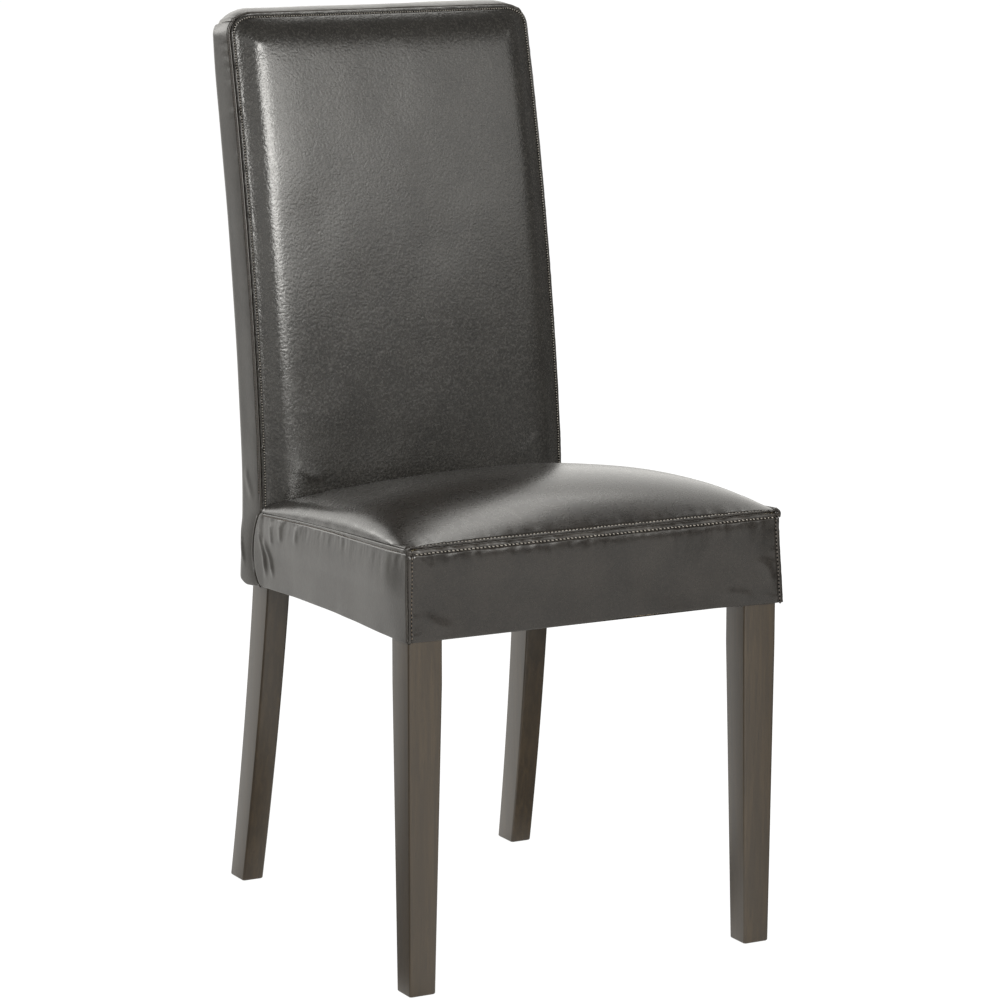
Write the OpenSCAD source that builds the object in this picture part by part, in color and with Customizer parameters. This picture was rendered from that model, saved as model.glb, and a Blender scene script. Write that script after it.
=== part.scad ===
// Upholstered dining chair: a dowelled hardwood frame, woven webbing, shaped foam and a sewn leather cover
// Millimetres. The chair stands on z = 0 and faces -Y. Left and right are as seen from the front

/* [Overall] */
// Height from the floor to the top of the back
overall_h = 988; // [940:1:1040]
// Width over the two front legs
seat_w = 440; // [410:1:480]
// Width over the two rear legs at the seat
seat_rear_w = 361; // [335:1:385]
// Depth from the front legs' front face to the front plane of the back
seat_d = 411; // [380:1:450]

/* [Seat] */
// Height of the seam along the front edge of the seat
seam_h = 476; // [455:1:495]
// How much lower that seam runs at the back
seam_fall = 35; // [20:1:45]
// Height of the foam's front edge, from the frame up to that seam
foam_edge_h = 40; // [32:1:50]
// Height of the front rail's face
front_rail_h = 57; // [46:1:66]
// How much lower the frame's top runs at the back
frame_fall = 25; // [15:1:30]
// How much lower the cover's hem runs at the back
hem_fall = 20; // [8:1:24]
// Rise of the cushion's crown over its seam
seat_crown = 58; // [35:1:75]
// Bow of the side seam between front and back
seam_bow = 9; // [0:1:14]
// How far the seat's side panel reaches round onto the side of the back
side_reach = 26; // [0:1:32]

/* [Back] */
// Depth of the back from its front seam to its rear seam
back_t = 67; // [62:1:78]
// How far the back leans if it were straight
back_lean = 41; // [20:1:60]
// How much further the top curves back
back_bow = 43; // [20:1:60]
// How much each side of the back draws in towards the top
back_taper = 4.5; // [0:0.5:10]
// Radius of the two top corners
corner_r = 18; // [8:1:24]
// How far the rear of the back rolls forward at its top
rear_roll = 9; // [0:1:10]
// Height of that roll
rear_roll_h = 90; // [60:1:140]
// Rise of the padded field over its border
back_crown = 10; // [4:1:14]
// Gentle dome of the padded field
back_dome = 5; // [0:1:8]
// Width of the flat border round the padded field
border_w = 12; // [8:1:18]
// Width over which the padding rolls up from the border
roll_w = 28; // [18:1:40]

/* [Legs] */
// Square section of a front leg
front_leg_w = 38.7; // [36:0.1:44]
// Width of a front leg at the floor
front_foot_w = 29.9; // [24:0.1:34]
// Depth of a front leg at the floor
front_foot_d = 28.9; // [24:0.1:34]
// How far the outer face of a front leg draws in at the floor
front_foot_in = 1.9; // [0:0.1:4]
// How far the front face of a front leg draws back at the floor
front_foot_back = 4.3; // [0:0.1:6]
// How far under the hem the front legs start to taper
taper_drop = 47; // [20:1:120]
// Thickness of a rear leg, side to side
rear_leg_w = 28; // [26:0.5:32]
// Thickness of a rear leg at the floor
rear_foot_w = 25; // [22:0.5:28]
// Depth of a rear leg and its post, front to back
rear_leg_d = 41; // [38:0.5:44]
// Depth of a rear leg at the floor
rear_foot_d = 34.4; // [28:0.1:40]
// Straight part of the rear legs' backward rake
rake_lean = 44.7; // [30:0.1:60]
// Curved part of the rear legs' backward rake
rake_bow = 17.8; // [0:0.1:30]
// How far under the hem the rear legs start to rake
knee_drop = 4; // [3:1:20]
// How far each rear foot stands outside its place under the seat
rear_splay = 6.5; // [0:0.5:12]
// Rounding of the legs' long edges
leg_edge_r = 2.5; // [1:0.5:4]
// Rounding under the feet
foot_r = 5; // [2:0.5:6]

/* [Frame] */
// Thickness of the seat rails
rail_t = 22; // [18:1:24]
// Height of the upper back rail
top_rail_h = 55; // [40:1:70]
// Depth of the upper back rail
top_rail_t = 28; // [20:1:30]
// Height of the lower back rail
low_rail_h = 50; // [35:1:60]
// Depth of the lower back rail
low_rail_t = 20; // [16:1:24]
// Gap from the front seam height up to the lower back rail
low_rail_up = 0; // [0:1:20]
// Diameter of the dowels
dowel_d = 8; // [6:1:10]
// Length of a dowel in the leg
dowel_in_leg = 16; // [12:1:18]
// Length of a dowel in the rail
dowel_in_rail = 20; // [14:1:26]
// Height of a corner block
block_h = 22; // [16:1:26]
// Reach of a corner block along each rail
block_reach = 45; // [36:1:55]
// Diameter of the corner block screws
screw_d = 4; // [3:0.5:5]
// Depth of a screw's thread in the rail
screw_bite = 14; // [8:1:16]

/* [Webbing] */
// Width of the elastic straps
strap_w = 50; // [40:1:60]
// Thickness of the elastic straps
strap_t = 1.6; // [1.2:0.1:2.4]
// Number of straps from front to back
straps_long = 4; // [3:1:4]
// Number of straps from side to side
straps_cross = 4; // [3:1:5]
// Number of straps behind the back cushion
straps_back = 5; // [3:1:6]
// Distance between the long straps' centres
long_pitch = 68; // [62:1:76]
// Distance between the cross straps' centres
cross_pitch = 78; // [64:1:84]
// Distance between the back straps' centres
back_pitch = 82; // [64:1:86]

/* [Padding and cover] */
// Thickness of the leather
leather_t = 1.4; // [1:0.1:2]
// How far the cover's outer face stands off the frame at the seat
skin = 2.2; // [2.2:0.1:4]
// Padding between the back's front seam and the posts
front_pad = 13; // [11:0.5:16]
// Padding and cover beside each post
side_pad = 6.5; // [5:0.5:9]
// Padding over the posts' tops
top_pad = 14; // [10:1:18]
// Thickness of the panel behind the back
board_t = 3; // [2:0.5:4]
// Thickness of the lining under the seat foam
lining_t = 1; // [0.6:0.1:2]
// Thickness of the cloth under the seat
dust_t = 0.7; // [0.5:0.1:1]
// Width of leather turned under the rails
turn_w = 20; // [14:1:21]

/* [Hidden] */
// Gap between soft or curved faces that lie on each other
gap = 0.3;
// Gap between the cut edges of two panels at a seam
seam_gap = 0.1;
// Play of a dowel or screw in its hole
play = 0.2;
// Length by which a cutting tool runs past what it cuts
over = 1;
// Softness of the bends where the posts start to lean and the legs to rake, as shares of their length
lean_soft = 0.06;
rake_soft = 0.03;
// Exponents of the cushion's crown: fullness across, roll at the sides, roll at the front, fall to the back
crown_across = 1.94;
crown_side = 0.515;
crown_front = 4.9;
crown_fall = 0.627;

front_y = skin - (skin + seat_d + back_lean + back_bow + back_t) / 2;
cover_front_y = front_y - skin;
leg_rear_y = front_y + front_leg_w;
back_y0 = front_y + seat_d;
post_y0 = back_y0 + front_pad;
post_top = overall_h - top_pad;
// Depth from the back's front seam to the inner face of its rear cover
back_inner_t = back_t - leather_t;
// Depth from the back's front seam to the outer face of the rear panel
board_rear_t = front_pad + rear_leg_d + gap + board_t;
// Rails stand this far above the hem, over the turned leather
rail_lift = leather_t + 2 * gap;
// Heights of the frame's top and of the hem at the front
frame_h = seam_h - foam_edge_h;
hem_h = frame_h - front_rail_h - rail_lift;
taper_h = hem_h - taper_drop;
knee_h = hem_h - hem_fall - knee_drop;
// The strap weave's upper and lower passes, measured from the straps' resting place
weave = (strap_t + gap) / 2;
lining_z = strap_t + weave + gap;
foam_z = lining_z + lining_t + gap;
frame_slope = atan(frame_fall / seat_d);
rear_rail_set = 14;
top_rail_set = 6;
low_rail_set = 10;
low_rail_z = seam_h + low_rail_up;
bore_fn = 32;

// Heights and outlines shared by the frame, the padding and the cover

function lerp(a, b, t) = a + (b - a) * t;
function clamp(t) = min(1, max(0, t));
// Length past a bend of softness w, growing smoothly from nothing
function bend(d, w) = (d + sqrt(d * d + w * w)) / 2;
function ease(t) = let (c = clamp(t)) c * c * (3 - 2 * c);

function depth_share(y) = (y - front_y) / seat_d;
function hem_z(y) = hem_h - hem_fall * depth_share(y);
function frame_z(y) = frame_h - frame_fall * depth_share(y);
function seam_z(y) =
  let (t = clamp(depth_share(y)))
  seam_h - seam_fall * t + seam_bow * t * (1 - t);

function lean_share(z) = (z - seam_h) / (overall_h - seam_h);
function lean(z) =
  back_lean * bend(lean_share(z), lean_soft) + back_bow * pow(max(0, lean_share(z)), 2);
function rake_share(z) = (knee_h - z) / knee_h;
function rake(z) =
  rake_lean * bend(rake_share(z), rake_soft) + rake_bow * pow(max(0, rake_share(z)), 2);

function back_y(z) = back_y0 + lean(z);
function post_y(z) = post_y0 + lean(z) + rake(z);
function post_half(z) =
  seat_rear_w / 2 + (z < knee_h
    ? rear_splay * rake_share(z)
    : -back_taper * (z - knee_h) / (overall_h - knee_h));
function band_half(z) = post_half(z) + side_pad;
// Half width of the back's outline, with its rounded top corners
function outline_half(z) =
  let (over_arc = max(0, z - overall_h + corner_r))
  band_half(z) - corner_r + sqrt(max(0, corner_r * corner_r - over_arc * over_arc));

// Half width of the seat's cover: straight along the front legs, then drawn in to the width of the back
function seat_half(y) = lerp(
  seat_w / 2 + skin, band_half(hem_z(back_y0)),
  clamp((y - leg_rear_y) / (back_y0 - leg_rear_y))
);
// How far behind the back's front plane the seat's side panel ends at height z
function side_end(z) =
  let (s = clamp((z - hem_z(back_y0)) / (seam_z(back_y0) - hem_z(back_y0))))
  side_reach * pow(max(0, sin(180 * s)), 0.6);
function rail_outer_x(y) = lerp(seat_w / 2, seat_rear_w / 2, (y - leg_rear_y) / (post_y0 - leg_rear_y));
function rail_inner_x(y) = rail_outer_x(y) - rail_t;

// General solids

// Prism with a (y, z) outline, from x0 to x1
module along_x(x0, x1, outline) {
  translate([x0, 0, 0])
    rotate([90, 0, 90])
      linear_extrude(x1 - x0)
        polygon(outline);
}

// Prism with an (x, z) outline, from y0 to y1
module along_y(y0, y1, outline) {
  translate([0, y1, 0])
    rotate([90, 0, 0])
      linear_extrude(y1 - y0)
        polygon(outline);
}

// Prism with an (x, y) outline, from z0 to z1
module along_z(z0, z1, outline) {
  translate([0, 0, z0])
    linear_extrude(z1 - z0)
      polygon(outline);
}

module mirrored(right) {
  mirror([right ? 1 : 0, 0, 0])
    children();
}

module both_sides() {
  for (right = [false, true])
    mirrored(right)
      children();
}

// Rounded rectangle at height z, counterclockwise from above
function ring(x0, x1, y0, y1, r, z) = [
  for (corner = [[x1 - r, y1 - r, 0], [x0 + r, y1 - r, 90], [x0 + r, y0 + r, 180], [x1 - r, y0 + r, 270]])
    for (a = [0, 45, 90])
      [corner[0] + r * cos(corner[2] + a), corner[1] + r * sin(corner[2] + a), z]
];

// Solid through a stack of rings, from the lowest to the highest
module loft(rings) {
  n = len(rings[0]);
  m = len(rings);
  polyhedron(
    [for (each_ring = rings) each each_ring],
    concat(
      [[for (i = [0 : n - 1]) i]],
      [for (j = [0 : m - 2]) for (i = [0 : n - 1])
        [j * n + i, (j + 1) * n + i, (j + 1) * n + (i + 1) % n]],
      [for (j = [0 : m - 2]) for (i = [0 : n - 1])
        [j * n + i, (j + 1) * n + (i + 1) % n, j * n + (i + 1) % n]],
      [[for (i = [n - 1 : -1 : 0]) (m - 1) * n + i]]
    )
  );
}

// Solid between two grids of points, rows running up or back and columns running right
module slab(outer, inner) {
  rows = len(outer);
  cols = len(outer[0]);
  base = rows * cols;
  top = cols * (rows - 1);
  polyhedron(
    concat([for (row = outer) each row], [for (row = inner) each row]),
    concat(
      [for (j = [0 : rows - 2]) for (i = [0 : cols - 2]) let (p = j * cols + i) [p, p + cols, p + cols + 1]],
      [for (j = [0 : rows - 2]) for (i = [0 : cols - 2]) let (p = j * cols + i) [p, p + cols + 1, p + 1]],
      [for (j = [0 : rows - 2]) for (i = [0 : cols - 2])
        let (p = base + j * cols + i) [p, p + cols + 1, p + cols]],
      [for (j = [0 : rows - 2]) for (i = [0 : cols - 2]) let (p = base + j * cols + i) [p, p + 1, p + cols + 1]],
      [for (i = [0 : cols - 2]) [i, i + 1, base + i + 1]],
      [for (i = [0 : cols - 2]) [i, base + i + 1, base + i]],
      [for (i = [top : top + cols - 2]) [i + 1, i, base + i]],
      [for (i = [top : top + cols - 2]) [i + 1, base + i, base + i + 1]],
      [for (j = [0 : rows - 2]) let (p = j * cols) [p + cols, p, base + p]],
      [for (j = [0 : rows - 2]) let (p = j * cols) [p + cols, base + p, base + p + cols]],
      [for (j = [0 : rows - 2]) let (p = j * cols + cols - 1) [p, p + cols, base + p + cols]],
      [for (j = [0 : rows - 2]) let (p = j * cols + cols - 1) [p, base + p + cols, base + p]]
    )
  );
}

// How far the rear of the back has rolled forward at height z
function top_roll(z) = rear_roll * pow(clamp(1 - (overall_h - z) / rear_roll_h), 2);

// Outline in (y, z) of a strip that follows the back's curve between two depths behind its front seam,
// from a height above the hem up to z1. Strips at the rear of the back take its roll
function curve_strip(lift, z1, near, far, steps, near_rolls = 0, far_rolls = 0) =
  let (near_z = hem_z(back_y0 + near) + lift, far_z = hem_z(back_y0 + far) + lift)
  concat(
    [for (i = [0 : steps])
      let (z = lerp(near_z, z1, i / steps)) [back_y(z) + near - near_rolls * top_roll(z), z]],
    [for (i = [steps : -1 : 0])
      let (z = lerp(far_z, z1, i / steps)) [back_y(z) + far - far_rolls * top_roll(z), z]]
  );

// Outline in (x, z) of the back, drawn in by a margin
function back_outline(z0, margin) =
  let (arc_z = overall_h - corner_r, r = corner_r - margin, x1 = band_half(arc_z) - corner_r)
  concat(
    [[-band_half(z0) + margin, z0]],
    [for (a = [0 : 15 : 90]) [-x1 - r * cos(a), arc_z + r * sin(a)]],
    [for (a = [90 : -15 : 0]) [x1 + r * cos(a), arc_z + r * sin(a)]],
    [[band_half(z0) - margin, z0]]
  );

// Legs

// Heights of the rings under a foot, and how far each is drawn in
function foot_rings() = [for (a = [0, 30, 60]) [foot_r * (1 - cos(a)), foot_r * (1 - sin(a))]];

module front_leg_blank() {
  levels = concat(foot_rings(), [[foot_r, 0], [taper_h, 0], [frame_h - frame_fall / 4, 0]]);
  loft([
    for (level = levels)
      let (
        t = clamp(1 - level[0] / taper_h),
        x0 = -seat_w / 2 + front_foot_in * t,
        y0 = front_y + front_foot_back * t
      )
      ring(
        x0 + level[1], x0 + lerp(front_leg_w, front_foot_w, t) - level[1],
        y0 + level[1], y0 + lerp(front_leg_w, front_foot_d, t) - level[1],
        leg_edge_r, level[0]
      )
  ]);
}

module front_leg() {
  color("#4a4036")
    difference() {
      front_leg_blank();
      front_rail_dowel_pair(play);
      side_rail_front_dowels(play);
    }
}

module rear_leg_blank() {
  leg_steps = 8;
  post_steps = 14;
  levels = concat(
    foot_rings(),
    [[foot_r, 0]],
    [for (i = [1 : leg_steps]) [knee_h * i / leg_steps, 0]],
    [for (i = [1 : post_steps]) [lerp(knee_h, post_top, i / post_steps), 0]]
  );
  loft([
    for (level = levels)
      let (
        z = level[0],
        t = clamp(rake_share(z)),
        x0 = -post_half(z),
        y0 = post_y(z)
      )
      ring(
        x0 + level[1], x0 + lerp(rear_leg_w, rear_foot_w, t) - level[1],
        y0 + level[1], y0 + lerp(rear_leg_d, rear_foot_d, t) - level[1],
        leg_edge_r, z
      )
  ]);
}

module rear_leg() {
  color("#4a4036")
    difference() {
      rear_leg_blank();
      side_rail_rear_dowels(play);
      rear_rail_dowel_pair(play);
      back_dowel_set(play);
    }
}

// Rails

front_rail_x = seat_w / 2 - front_leg_w;
rear_rail_x = post_half(frame_h) - rear_leg_w;
top_rail_x = post_half(post_top) - rear_leg_w;
low_rail_x = post_half(low_rail_z + low_rail_h) - rear_leg_w;

module front_rail() {
  y1 = front_y + rail_t;
  color("#c8a878")
    difference() {
      along_x(-front_rail_x, front_rail_x, [
        [front_y, hem_z(front_y) + rail_lift],
        [y1, hem_z(y1) + rail_lift],
        [y1, frame_z(y1)],
        [front_y, frame_z(front_y)]
      ]);
      both_sides() front_rail_dowel_pair(play);
      both_sides() block_screw_front(play);
    }
}

module rear_rail() {
  y0 = post_y0 + rear_rail_set;
  y1 = y0 + rail_t;
  color("#c8a878")
    difference() {
      along_x(-rear_rail_x, rear_rail_x, [
        [y0, hem_z(y0) + rail_lift],
        [y1, hem_z(y1) + rail_lift],
        [y1, frame_z(y1)],
        [y0, frame_z(y0)]
      ]);
      both_sides() rear_rail_dowel_pair(play);
      both_sides() block_screw_rear(play);
    }
}

module side_rail() {
  color("#c8a878")
    difference() {
      intersection() {
        along_z(0, frame_h, [
          [-rail_outer_x(leg_rear_y), leg_rear_y],
          [-rail_inner_x(leg_rear_y), leg_rear_y],
          [-rail_inner_x(post_y0), post_y0],
          [-rail_outer_x(post_y0), post_y0]
        ]);
        along_x(-seat_w, 0, [
          [leg_rear_y - over, hem_z(leg_rear_y - over) + rail_lift],
          [post_y0 + over, hem_z(post_y0 + over) + rail_lift],
          [post_y0 + over, frame_z(post_y0 + over)],
          [leg_rear_y - over, frame_z(leg_rear_y - over)]
        ]);
      }
      side_rail_front_dowels(play);
      side_rail_rear_dowels(play);
      block_screw_front_side(play);
      block_screw_rear_side(play);
    }
}

module back_rail(z0, h, half, set, thick) {
  color("#c8a878")
    difference() {
      along_x(-half, half, [
        [back_y(z0) + front_pad + set, z0],
        [back_y(z0) + front_pad + set + thick, z0],
        [back_y(z0 + h) + front_pad + set + thick, z0 + h],
        [back_y(z0 + h) + front_pad + set, z0 + h]
      ]);
      both_sides() back_dowel_set(play);
    }
}

// Dowels

// Dowel along X through the inner face of a left leg at x
module dowel_x(x, y, z, extra) {
  translate([x - dowel_in_leg - extra, y, z])
    rotate([0, 90, 0])
      cylinder(d = dowel_d + 2 * extra, h = dowel_in_leg + dowel_in_rail + 2 * extra, $fn = bore_fn);
}

// Dowel along Y through a leg's face at y, with so much of it in front of that face
module dowel_y(x, y, z, before, after, extra) {
  translate([x, y + after + extra, z])
    rotate([90, 0, 0])
      cylinder(d = dowel_d + 2 * extra, h = before + after + 2 * extra, $fn = bore_fn);
}

// Heights of the two dowels in a rail between its bottom and top
function dowel_heights(z0, z1) = [lerp(z0, z1, 0.26), lerp(z0, z1, 0.72)];

module front_rail_dowel_pair(extra) {
  y = front_y + rail_t / 2;
  for (z = dowel_heights(hem_z(y) + rail_lift, frame_z(y)))
    dowel_x(-front_rail_x, y, z, extra);
}

module rear_rail_dowel_pair(extra) {
  y = post_y0 + rear_rail_set + rail_t / 2;
  for (z = dowel_heights(hem_z(y) + rail_lift, frame_z(y)))
    dowel_x(-rear_rail_x, y, z, extra);
}

module side_rail_front_dowels(extra) {
  y = leg_rear_y;
  for (z = dowel_heights(hem_z(y) + rail_lift, frame_z(y)))
    dowel_y(-seat_w / 2 + rail_t / 2, y, z, dowel_in_leg, dowel_in_rail, extra);
}

module side_rail_rear_dowels(extra) {
  y = post_y0;
  for (z = dowel_heights(hem_z(y) + rail_lift, frame_z(y)))
    dowel_y(-seat_rear_w / 2 + rail_t / 2, y, z, dowel_in_rail, dowel_in_leg, extra);
}

module back_dowel_set(extra) {
  for (z = dowel_heights(post_top - top_rail_h, post_top))
    dowel_x(-top_rail_x, back_y(z) + front_pad + top_rail_set + top_rail_t / 2, z, extra);
  for (z = dowel_heights(low_rail_z, low_rail_z + low_rail_h))
    dowel_x(-low_rail_x, back_y(z) + front_pad + low_rail_set + low_rail_t / 2, z, extra);
}

module seat_rail_dowels() {
  color("#d8b98a")
    both_sides() {
      front_rail_dowel_pair(0);
      rear_rail_dowel_pair(0);
      side_rail_front_dowels(0);
      side_rail_rear_dowels(0);
    }
}

module back_rail_dowels() {
  color("#d8b98a")
    both_sides() back_dowel_set(0);
}

// Corner blocks, glued and screwed into the four corners under the webbing

block_drop = 10;
block_top_front = frame_z(leg_rear_y + block_reach) - block_drop;
block_top_rear = frame_z(post_y0 + rear_rail_set) - block_drop;
block_front_y = front_y + rail_t + seam_gap;
block_rear_y = post_y0 + rear_rail_set - seam_gap;
block_front_x = -seat_w / 2 + front_leg_w + gap;
block_rear_x = -seat_rear_w / 2 + rear_leg_w + back_taper + gap;

module front_block() {
  notch_y = leg_rear_y + gap;
  far_y = notch_y + block_reach;
  difference() {
    along_z(block_top_front - block_h, block_top_front, [
      [block_front_x, block_front_y],
      [block_front_x + block_reach, block_front_y],
      [-rail_inner_x(far_y) + seam_gap, far_y],
      [-rail_inner_x(notch_y) + seam_gap, notch_y],
      [block_front_x, notch_y]
    ]);
    block_screw_front(play);
    block_screw_front_side(play);
  }
}

module rear_block() {
  notch_y = post_y0 - gap;
  far_y = notch_y - block_reach;
  difference() {
    along_z(block_top_rear - block_h, block_top_rear, [
      [block_rear_x, block_rear_y],
      [block_rear_x, notch_y],
      [-rail_inner_x(notch_y) + seam_gap, notch_y],
      [-rail_inner_x(far_y) + seam_gap, far_y],
      [block_rear_x + block_reach, block_rear_y]
    ]);
    block_screw_rear(play);
    block_screw_rear_side(play);
  }
}

module corner_blocks() {
  color("#b89868")
    both_sides() {
      front_block();
      rear_block();
    }
}

// Screw whose tip is at the origin and which runs along +Z up to its countersunk head.
// With play it is the hole for that screw, open past the head
screw_head_h = 2.4;
screw_in_block = 11;

module screw(extra) {
  shank = screw_bite + screw_in_block;
  translate([0, 0, -extra])
    cylinder(d = screw_d + 2 * extra, h = shank + screw_head_h + extra, $fn = bore_fn);
  translate([0, 0, shank])
    cylinder(d = 2 * screw_d + 2 * extra, h = extra > 0 ? block_reach : screw_head_h, $fn = bore_fn);
}

module block_screw_front(extra) {
  translate([block_front_x + block_reach * 0.45, front_y + rail_t - screw_bite, block_top_front - block_h * 0.35])
    rotate([-90, 0, 0])
      screw(extra);
}

module block_screw_front_side(extra) {
  y = leg_rear_y + block_reach * 0.45;
  translate([-rail_inner_x(y) - screw_bite, y, block_top_front - block_h * 0.65])
    rotate([0, 90, 0])
      screw(extra);
}

module block_screw_rear(extra) {
  translate([
    block_rear_x + block_reach * 0.45,
    post_y0 + rear_rail_set + screw_bite,
    block_top_rear - block_h * 0.35
  ])
    rotate([90, 0, 0])
      screw(extra);
}

module block_screw_rear_side(extra) {
  y = post_y0 - block_reach * 0.45;
  translate([-rail_inner_x(y) - screw_bite, y, block_top_rear - block_h * 0.65])
    rotate([0, 90, 0])
      screw(extra);
}

module corner_block_screws() {
  color("#8f8f8f")
    both_sides() {
      block_screw_front(0);
      block_screw_front_side(0);
      block_screw_rear(0);
      block_screw_rear_side(0);
    }
}

// Webbing: straps stapled to the rails' tops and woven over and under each other

// Places children on the sloping top of the frame: x across, y back from its front edge, z square to it
module on_frame() {
  translate([0, front_y, frame_h])
    rotate([-frame_slope, 0, 0])
      children();
}

long_span = (post_y0 + rear_rail_set + rail_t - front_y) / cos(frame_slope);
weave_mid_y = (rail_t + long_span - rail_t) / 2;

function long_x(i) = (i - (straps_long - 1) / 2) * long_pitch;
function cross_y(j) = weave_mid_y + (j - (straps_cross - 1) / 2) * cross_pitch;
function pass(i, j) = (i + j) % 2 == 0 ? weave : -weave;
// Distance along a strap over which it changes from one pass to the next
weave_ramp = 5;

// Side view of a woven strap: flat at both ends, raised or lowered over each crossing strap
function strap_profile(start, end, centres, passes) =
  let (
    half = strap_w / 2 + gap,
    low = concat(
      [[start, 0]],
      [for (k = [0 : len(centres) - 1]) each [
        [centres[k] - half - weave_ramp, 0],
        [centres[k] - half, passes[k]],
        [centres[k] + half, passes[k]],
        [centres[k] + half + weave_ramp, 0]
      ]],
      [[end, 0]]
    )
  )
  concat(low, [for (k = [len(low) - 1 : -1 : 0]) low[k] + [0, strap_t]]);

module seat_straps_long() {
  end_in = 6;
  color("#3c3c3c")
    on_frame()
      for (i = [0 : straps_long - 1])
        along_x(long_x(i) - strap_w / 2, long_x(i) + strap_w / 2, strap_profile(
          end_in, long_span - end_in,
          [for (j = [0 : straps_cross - 1]) cross_y(j)],
          [for (j = [0 : straps_cross - 1]) pass(i, j)]
        ));
}

module seat_straps_cross() {
  color("#4a4a48")
    on_frame()
      for (j = [0 : straps_cross - 1]) {
        reach = rail_outer_x(front_y + cross_y(j) + strap_w / 2) - 5;
        along_y(cross_y(j) - strap_w / 2, cross_y(j) + strap_w / 2, strap_profile(
          -reach, reach,
          [for (i = [0 : straps_long - 1]) long_x(i)],
          [for (i = [0 : straps_long - 1]) -pass(i, j)]
        ));
      }
}

module back_straps() {
  mid = (low_rail_z + low_rail_h + post_top - top_rail_h) / 2;
  color("#3c3c3c")
    for (k = [0 : straps_back - 1]) {
      z = mid + (k - (straps_back - 1) / 2) * back_pitch;
      z0 = z - strap_w / 2;
      z1 = z + strap_w / 2;
      reach = post_half(z1) - 4;
      along_x(-reach, reach, [
        [back_y(z0) + front_pad - gap - strap_t, z0],
        [back_y(z0) + front_pad - gap, z0],
        [back_y(z1) + front_pad - gap, z1],
        [back_y(z1) + front_pad - gap - strap_t, z1]
      ]);
    }
}

// Seat cushion

back_edge_steps = [0, border_w, border_w + roll_w / 4, border_w + roll_w / 2,
  border_w + roll_w * 3 / 4, border_w + roll_w];

// How far the back's padded field stands out at x and z
function back_rise(x, z) =
  let (
    side = outline_half(z) - abs(x),
    up = overall_h - z,
    field = ease((side - border_w) / roll_w) * ease((up - border_w) / roll_w),
    u = clamp(abs(x) / band_half(z))
  )
  field * (back_crown + back_dome * (1 - u * u));

// Where the seat meets the padded back
function seat_rear_y(u) = back_y0 - back_rise(u * band_half(seam_h), seam_h) - gap;

function seat_rise(u, v) =
  seat_crown * pow(max(0, 1 - pow(abs(u), crown_across)), crown_side)
    * (1 - pow(1 - v, crown_front)) * (1 - crown_fall * v * v);

function seat_grid(cols, rows, inset, drop) = [
  for (j = [0 : rows])
    let (v = 1 - cos(90 * j / rows))
    [for (i = [0 : cols])
      let (
        u = sin(180 * i / cols - 90),
        y = lerp(cover_front_y + inset, seat_rear_y(u), v)
      )
      [u * (seat_half(y) - inset), y, seam_z(y) + seat_rise(u, v) - drop]]
];

module seat_lining() {
  on_top = frame_slope;
  x0 = seat_w / 2 - over;
  x1 = seat_rear_w / 2 - over;
  y1 = (back_y0 - back_crown - back_dome - over - front_y) / cos(on_top);
  color("#77736a")
    on_frame()
      along_z(lining_z, lining_z + lining_t, [
        [-x0, over], [x0, over], [x0, front_leg_w], [x1, y1], [-x1, y1], [-x0, front_leg_w]
      ]);
}

module seat_foam() {
  top = seat_grid(14, 12, leather_t + gap, leather_t + 2 * gap);
  lift = foam_z / cos(frame_slope);
  color("#e2d6a8")
    slab(top, [for (row = top) [for (p = row) [p[0], p[1], frame_z(p[1]) + lift]]]);
}

module seat_top_cover() {
  color("#2c2723")
    slab(seat_grid(26, 18, 0, 0), seat_grid(26, 18, leather_t, leather_t));
}

// Back cushion

function back_rows(z0, middle) =
  let (edge = border_w + roll_w)
  concat(
    [for (k = [0 : middle]) lerp(z0, overall_h - edge, k / middle)],
    [for (d = [roll_w * 3 / 4, roll_w / 2, roll_w / 4]) overall_h - border_w - d],
    [for (a = [0 : 22.5 : 90]) overall_h - corner_r * (1 - sin(a))]
  );

// Distances of a row's points from the middle, closer together over the rolled edges
function back_columns(half, middle) =
  let (inner = half - border_w - roll_w)
  concat(
    [for (d = back_edge_steps) d - half],
    [for (k = [1 : middle - 1]) lerp(-inner, inner, k / middle)],
    [for (k = [len(back_edge_steps) - 1 : -1 : 0]) half - back_edge_steps[k]]
  );

function back_grid(z0, rows, cols, inset, depth) = [
  for (z = back_rows(z0, rows))
    [for (x = back_columns(outline_half(z), cols))
      [x * (outline_half(z) - inset) / outline_half(z),
        back_y(z) - back_rise(x, z) + depth,
        z - inset * clamp((z - overall_h + corner_r) / corner_r)]]
];

back_cover_z0 = seam_h - seam_fall + 12;

module back_front_cover() {
  color("#2c2723")
    slab(back_grid(back_cover_z0, 10, 6, 0, 0), back_grid(back_cover_z0, 10, 6, 0, leather_t));
}

module back_foam() {
  inset = leather_t + gap;
  front = back_grid(back_cover_z0, 8, 4, inset, leather_t + gap);
  rear = front_pad - strap_t - 3 * gap;
  color("#e2d6a8")
    slab(front, [for (row = front) [for (p = row) [p[0], back_y(p[2]) + rear, p[2]]]]);
}

module back_side_pads() {
  z0 = hem_z(back_y0 + back_t);
  color("#d9d4c4")
    intersection() {
      both_sides()
        along_y(back_y0, back_y0 + back_lean + back_bow + back_t, [
          [-band_half(z0) + leather_t + gap, z0],
          [-post_half(z0) - gap, z0],
          [-post_half(post_top) - gap, post_top],
          [-band_half(post_top) + leather_t + gap, post_top]
        ]);
      along_x(-seat_w, seat_w, curve_strip(rail_lift, post_top, front_pad, board_rear_t, 20));
    }
}

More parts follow.
